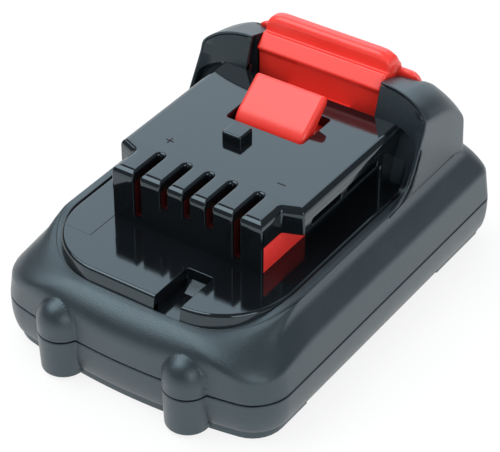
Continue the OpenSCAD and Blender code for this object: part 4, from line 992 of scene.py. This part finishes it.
# plain plus and minus beside the outer slots, as thin raised bars
def makeMarks():
    s = polarityMarks
    z0, z1 = pack["plate"] - pack["sink"], pack["plate"] + s["high"]
    half = s["stroke"] / 2
    bars = [(-s["x"], s["reach"], half), (-s["x"], half, s["reach"]), (s["x"], s["reach"], half)]
    plans = [rectangle(x - w, s["y"] - h, x + w, s["y"] + h, s["corner"]) for x, w, h in bars]
    return [filletedBlock(plan, z0, z1, s["edge"]) for plan in plans]


fineDeckLine = {"x": -17.6, "y": -28.25, "outerX": -23.6, "rear": -19.9, "wide": 0.21, "faint": 0.06,
             "high": 0.012, "edge": 0.005}


# fine dark line on the deck: from the tower's left corner forwards, then fainter to the left
def makeFineDeckLine():
    s = fineDeckLine
    z0, z1 = pack["deckTop"] - pack["sink"], pack["deckTop"] + s["high"]
    bars = [(s["x"], s["y"], s["x"] + s["wide"], s["rear"]),
            (s["outerX"], s["y"], s["x"] + 2 * hair, s["y"] + s["faint"])]
    return [filletedBlock(rectangle(*bar, hair), z0, z1, s["edge"]) for bar in bars]


addDeckPiece("polarityMarks", makeMarks(), markFinish)
addDeckPiece("fineDeckLine", makeFineDeckLine(), markFinish)

tongue = {
    "half": 8.6, "front": 8.6, "foot": 32.2, "footRear": 10.4, "footR": 0.1,
    "endY": 18.4, "endZ": 40.3, "topY": 17.5, "topZ": 41.75, "endR": 0.75,
    "noseZ": 35.14, "noseR": 5.4,
    "edges": (0.1, 0.3, 0.8, 1.05, 1.05),
    "stemHalf": 7.4, "stemFront": 9.8, "stemRear": 13.2, "stemLow": 32.9, "stemTop": 35.6, "stemEdge": 0.1,
    "webHalf": 8.0, "webFront": 8.6, "webRear": 28.9, "webLow": 30.7, "webHigh": 33.2, "webEdge": 0.2,
    "corner": 0.3,
}


# Tongue: side view of a sloping flap with a round nose, pushed across with round edges, on a narrower stem
# and the web that runs back to the button
def makeTongue():
    s = tongue
    side = [(s["front"], s["foot"], s["footR"]), (s["footRear"], s["foot"], s["footR"]),
            (s["endY"], s["endZ"], s["endR"]), (s["topY"], s["topZ"], s["endR"]),
            (s["front"], s["noseZ"], s["noseR"])]
    flap = filletedBlock(side, -s["half"], s["half"], s["edges"], s["edges"], arcSteps=12, edgeSteps=6,
                         axes=(1, 2, 0))
    plan = rectangle(-s["stemHalf"], s["stemFront"], s["stemHalf"], s["stemRear"], s["corner"])
    stem = filletedBlock(plan, s["stemLow"], s["stemTop"], s["stemEdge"])
    plan = rectangle(-s["webHalf"], s["webFront"], s["webHalf"], s["webRear"], s["corner"])
    return [flap, stem, filletedBlock(plan, s["webLow"], s["webHigh"], s["webEdge"], s["webEdge"])]


latchButton = {
    # side view as y, z and corner radius: the foot, the back, the ridge, the groove and the lip
    "side": ((28.3, 29.4, 0.2), (39.1, 29.4, 0.2), (39.1, 34.0, 1.0), (36.2, 42.3, 2.5),
             (34.3, 46.2, 1.6), (31.0, 46.35, 1.5), (30.8, 42.25, 0.35), (29.9, 42.8, 0.5),
             (27.3, 40.06, 0.55), (28.3, 38.56, 1.0)),
    "edges": (0.2, 0.6, 0.7, 0.7, 0.7, 0.6, 0.3, 0.7, 0.45, 0.4),
    "half": 15.3,
    "endLength": 3.5, "endDrop": 2.5,     # the ridge falls off towards its ends on a quarter ellipse
    "endFrom": 43.15, "crest": 46.35,     # none of the fall at the first height, all of it at the second
    # side view of the wide pad behind
    "pad": ((34.6, 29.4, 0.2), (39.7, 29.4, 0.2), (39.7, 34.0, 2.0), (37.6, 40.6, 4.0), (34.6, 42.2, 0.8)),
    "padEdges": (0.2, 0.6, 1.8, 2.8, 1.8),
    "padHalf": 19.8,
}


# Button: its side view pushed across, with the height above the groove shrunk towards the ridge's ends, and
# the pad behind it
def makeButton():
    s = latchButton
    steps = {"arcSteps": 8, "edgeSteps": 6, "axes": (1, 2, 0)}
    points, faces = filletedBlock(s["side"], -s["half"], s["half"], s["edges"], s["edges"], between=30,
                                  **steps)
    t = np.clip((np.abs(points[:, 0]) - s["half"] + s["endLength"]) / s["endLength"], 0, 1)
    share = np.clip((points[:, 2] - s["endFrom"]) / (s["crest"] - s["endFrom"]), 0, 1)
    points[:, 2] -= s["endDrop"] * (1 - np.sqrt(1 - t ** 2)) * share
    pad = filletedBlock(s["pad"], -s["padHalf"], s["padHalf"], s["padEdges"], s["padEdges"], **steps)
    return [(points, faces), pad]


spring = {
    "wire": 0.7, "mean": 5.0, "turns": 6, "steps": 40, "sides": 12,
    "x": 9.5, "y": (springLow[1] + springHigh[1]) / 2, "low": springLow[2], "high": springHigh[2],
    "endShare": 0.10, "endRise": 0.06,     # closed turns at each end
    "socket": 3.2, "socketGap": 0.1,
}


# sockets for the springs, from under the button
def springSockets():
    s = spring
    bore = [(s["socket"], s["low"]), (s["socket"], s["high"] + s["socketGap"])]
    return [turnedSolid(side * s["x"], s["y"], bore, 40) for side in (-1, 1)]


addPiece("latchTongue", makeTongue(), "latch", ["release_latch"], "red", redFinish)
addPiece("latchButton", makeButton(), "latch", ["release_latch"], "red", redFinish, cutters=springSockets())
print("latch made")


# Coil: a round wire carried along a helix, with its ends closed flat
def makeSpring(x):
    s = spring
    t = np.linspace(0, 1, s["turns"] * s["steps"] + 1)
    r, w = s["mean"] / 2, s["wire"] / 2
    angle = 2 * math.pi * s["turns"] * t
    closed = np.clip((t - s["endShare"]) / (1 - 2 * s["endShare"]), 0, 1)
    rise = s["endRise"] * t + (1 - s["endRise"]) * closed
    z = s["low"] + w + 2 * hair + (s["high"] - s["low"] - s["wire"] - 4 * hair) * rise
    path = np.stack([x + r * np.cos(angle), s["y"] + r * np.sin(angle), z], 1)
    along = np.gradient(path, axis=0)
    along /= np.linalg.norm(along, axis=1, keepdims=True)
    out = np.stack([np.cos(angle), np.sin(angle), 0 * angle], 1)
    up = np.cross(along, out)
    a = np.linspace(0, 2 * math.pi, s["sides"], endpoint=False)
    ring = out[:, None] * np.cos(a)[None, :, None] + up[:, None] * np.sin(a)[None, :, None]
    return stackedSolid(path[:, None] + w * ring)


for side, name in ((1, "right"), (-1, "left")):
    coil = addPiece("latchSpring" + name.title(), [makeSpring(side * spring["x"])], "pack",
                    ["latch_spring_" + name], "spring", wireFinish)
    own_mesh(coil)
print("springs made")

floor = {
    "rings": (0.05, 0.4, 1.0, 3.0), "columns": 64, "below": 0.00002,     # in metres
    "shade": (0.90, 0.90, 0.90), "rough": 0.9,
    "glow": 0.82,     # share of white seen by the camera and in reflections
}


# floor: rings of a flat disc, level with the feet
def makeFloor():
    s, columns = floor, floor["columns"]
    a = np.linspace(0, 2 * math.pi, columns, endpoint=False)
    r = np.array(s["rings"])[:, None]
    points = np.stack([r * np.cos(a), r * np.sin(a), 0 * r * a - s["below"]], -1).reshape(-1, 3)
    faces = [q[::-1] for q in gridQuads(len(r), columns)] + [list(range(columns))]
    mesh = bpy.data.meshes.new("studioFloor")
    mesh.from_pydata(points.tolist(), [], faces)
    material = bpy.data.materials.new("paleFloor")
    material.use_nodes = True
    tree = material.node_tree
    shader = tree.nodes["Principled BSDF"]
    shader.inputs["Base Color"].default_value = (*s["shade"], 1)
    shader.inputs["Roughness"].default_value = s["rough"]
    shader.inputs["Specular IOR Level"].default_value = 0.0
    glow = addNode(tree, "ShaderNodeEmission", Strength=1.0)
    path = addNode(tree, "ShaderNodeLightPath")
    seen = addNode(tree, "ShaderNodeMath", {"operation": "MAXIMUM"})
    share = addNode(tree, "ShaderNodeMath", {"operation": "MULTIPLY"})
    share.inputs[1].default_value = s["glow"]
    mix = addNode(tree, "ShaderNodeMixShader")
    end = tree.nodes["Material Output"]
    joinNodes(tree, (path, "Is Camera Ray", seen, 0), (path, "Is Glossy Ray", seen, 1), (seen, 0, share, 0),
                    (share, 0, mix, 0), (shader, 0, mix, 1), (glow, 0, mix, 2), (mix, 0, end, "Surface"))
    mesh.materials.append(material)
    plane = bpy.data.objects.new("studioFloor", mesh)
    bpy.context.scene.collection.objects.link(plane)


makeFloor()

studio = {"light": 0.78, "lightTint": (0.97, 0.99, 1, 1), "mirror": 0.2, "mirrorTint": (0.88, 0.97, 1, 1)}


# white to the camera, a plain level as light, and a dim level in reflections, where the lamps shape the gloss
def makeWorld():
    s = studio
    world = bpy.data.worlds.new("studio")
    world.use_nodes = True
    tree = world.node_tree
    tree.nodes.clear()
    path = addNode(tree, "ShaderNodeLightPath")
    seen = addNode(tree, "ShaderNodeMath", {"operation": "MAXIMUM"})
    white = addNode(tree, "ShaderNodeBackground", Color=(1, 1, 1, 1), Strength=1.0)
    light = addNode(tree, "ShaderNodeBackground", Color=s["lightTint"], Strength=s["light"])
    dim = addNode(tree, "ShaderNodeBackground", Color=s["mirrorTint"], Strength=s["mirror"])
    shine = addNode(tree, "ShaderNodeMixShader")
    mix = addNode(tree, "ShaderNodeMixShader")
    end = addNode(tree, "ShaderNodeOutputWorld")
    joinNodes(tree, (path, "Is Glossy Ray", shine, 0), (light, 0, shine, 1), (dim, 0, shine, 2),
                    (path, "Is Camera Ray", seen, 0), (path, "Is Transmission Ray", seen, 1),
                    (seen, 0, mix, 0), (shine, 0, mix, 1), (white, 0, mix, 2), (mix, 0, end, "Surface"))
    bpy.context.scene.world = world


makeWorld()

lamps = {
    "rearPanel": {"at": (-0.36, 0.70, 0.44), "size": (0.95, 0.70), "radiance": 1.6,
                  "tint": (0.88, 0.97, 1.06)},
    "overhead": {"at": (-0.39, -0.16, 0.75), "size": (0.60, 0.62), "radiance": 3.3,
                 "tint": (0.96, 0.99, 1.02)},
    "sidePanel": {"at": (0.72, -0.42, 0.46), "size": (0.50, 0.50), "radiance": 2.6, "tint": (1.0, 1.0, 1.0)},
}
aim = Vector((0, 0, 0.03))     # lamps face the pack's middle
for name, lamp in lamps.items():
    data = bpy.data.lights.new(name, "AREA")
    data.shape = "RECTANGLE"
    data.size, data.size_y = lamp["size"]
    data.energy = lamp["radiance"] * math.pi * data.size * data.size_y
    data.color = lamp["tint"]
    light = bpy.data.objects.new(name, data)
    light.location = lamp["at"]
    light.rotation_euler = (aim - Vector(lamp["at"])).to_track_quat("-Z", "Y").to_euler()
    bpy.context.scene.collection.objects.link(light)

view = {"azimuth": 34.25, "elevation": 36.634, "distance": 453.84, "across": 1.443, "up": 12.909,
        "lens": 155.07, "sensor": 36}


# camera on a sphere about the origin, moved in its own plane, looking along the sphere's radius
def makeCamera():
    a, e = math.radians(view["azimuth"]), math.radians(view["elevation"])
    back = Vector((math.sin(a) * math.cos(e), -math.cos(a) * math.cos(e), math.sin(e)))
    right = Vector((math.cos(a), math.sin(a), 0))
    up = back.cross(right)
    eye = (back * view["distance"] + right * view["across"] + up * view["up"]) * mm
    data = bpy.data.cameras.new("productCamera")
    data.lens = view["lens"]
    data.sensor_width = view["sensor"]
    data.sensor_fit = "HORIZONTAL"
    data.clip_start = 0.01
    camera = bpy.data.objects.new("productCamera", data)
    turn = Matrix((right, up, back)).transposed().to_4x4()
    camera.matrix_world = Matrix.Translation(eye) @ turn
    bpy.context.scene.collection.objects.link(camera)
    bpy.context.scene.camera = camera


makeCamera()
bpy.context.scene.view_settings.view_transform = "Standard"
print("stage set")
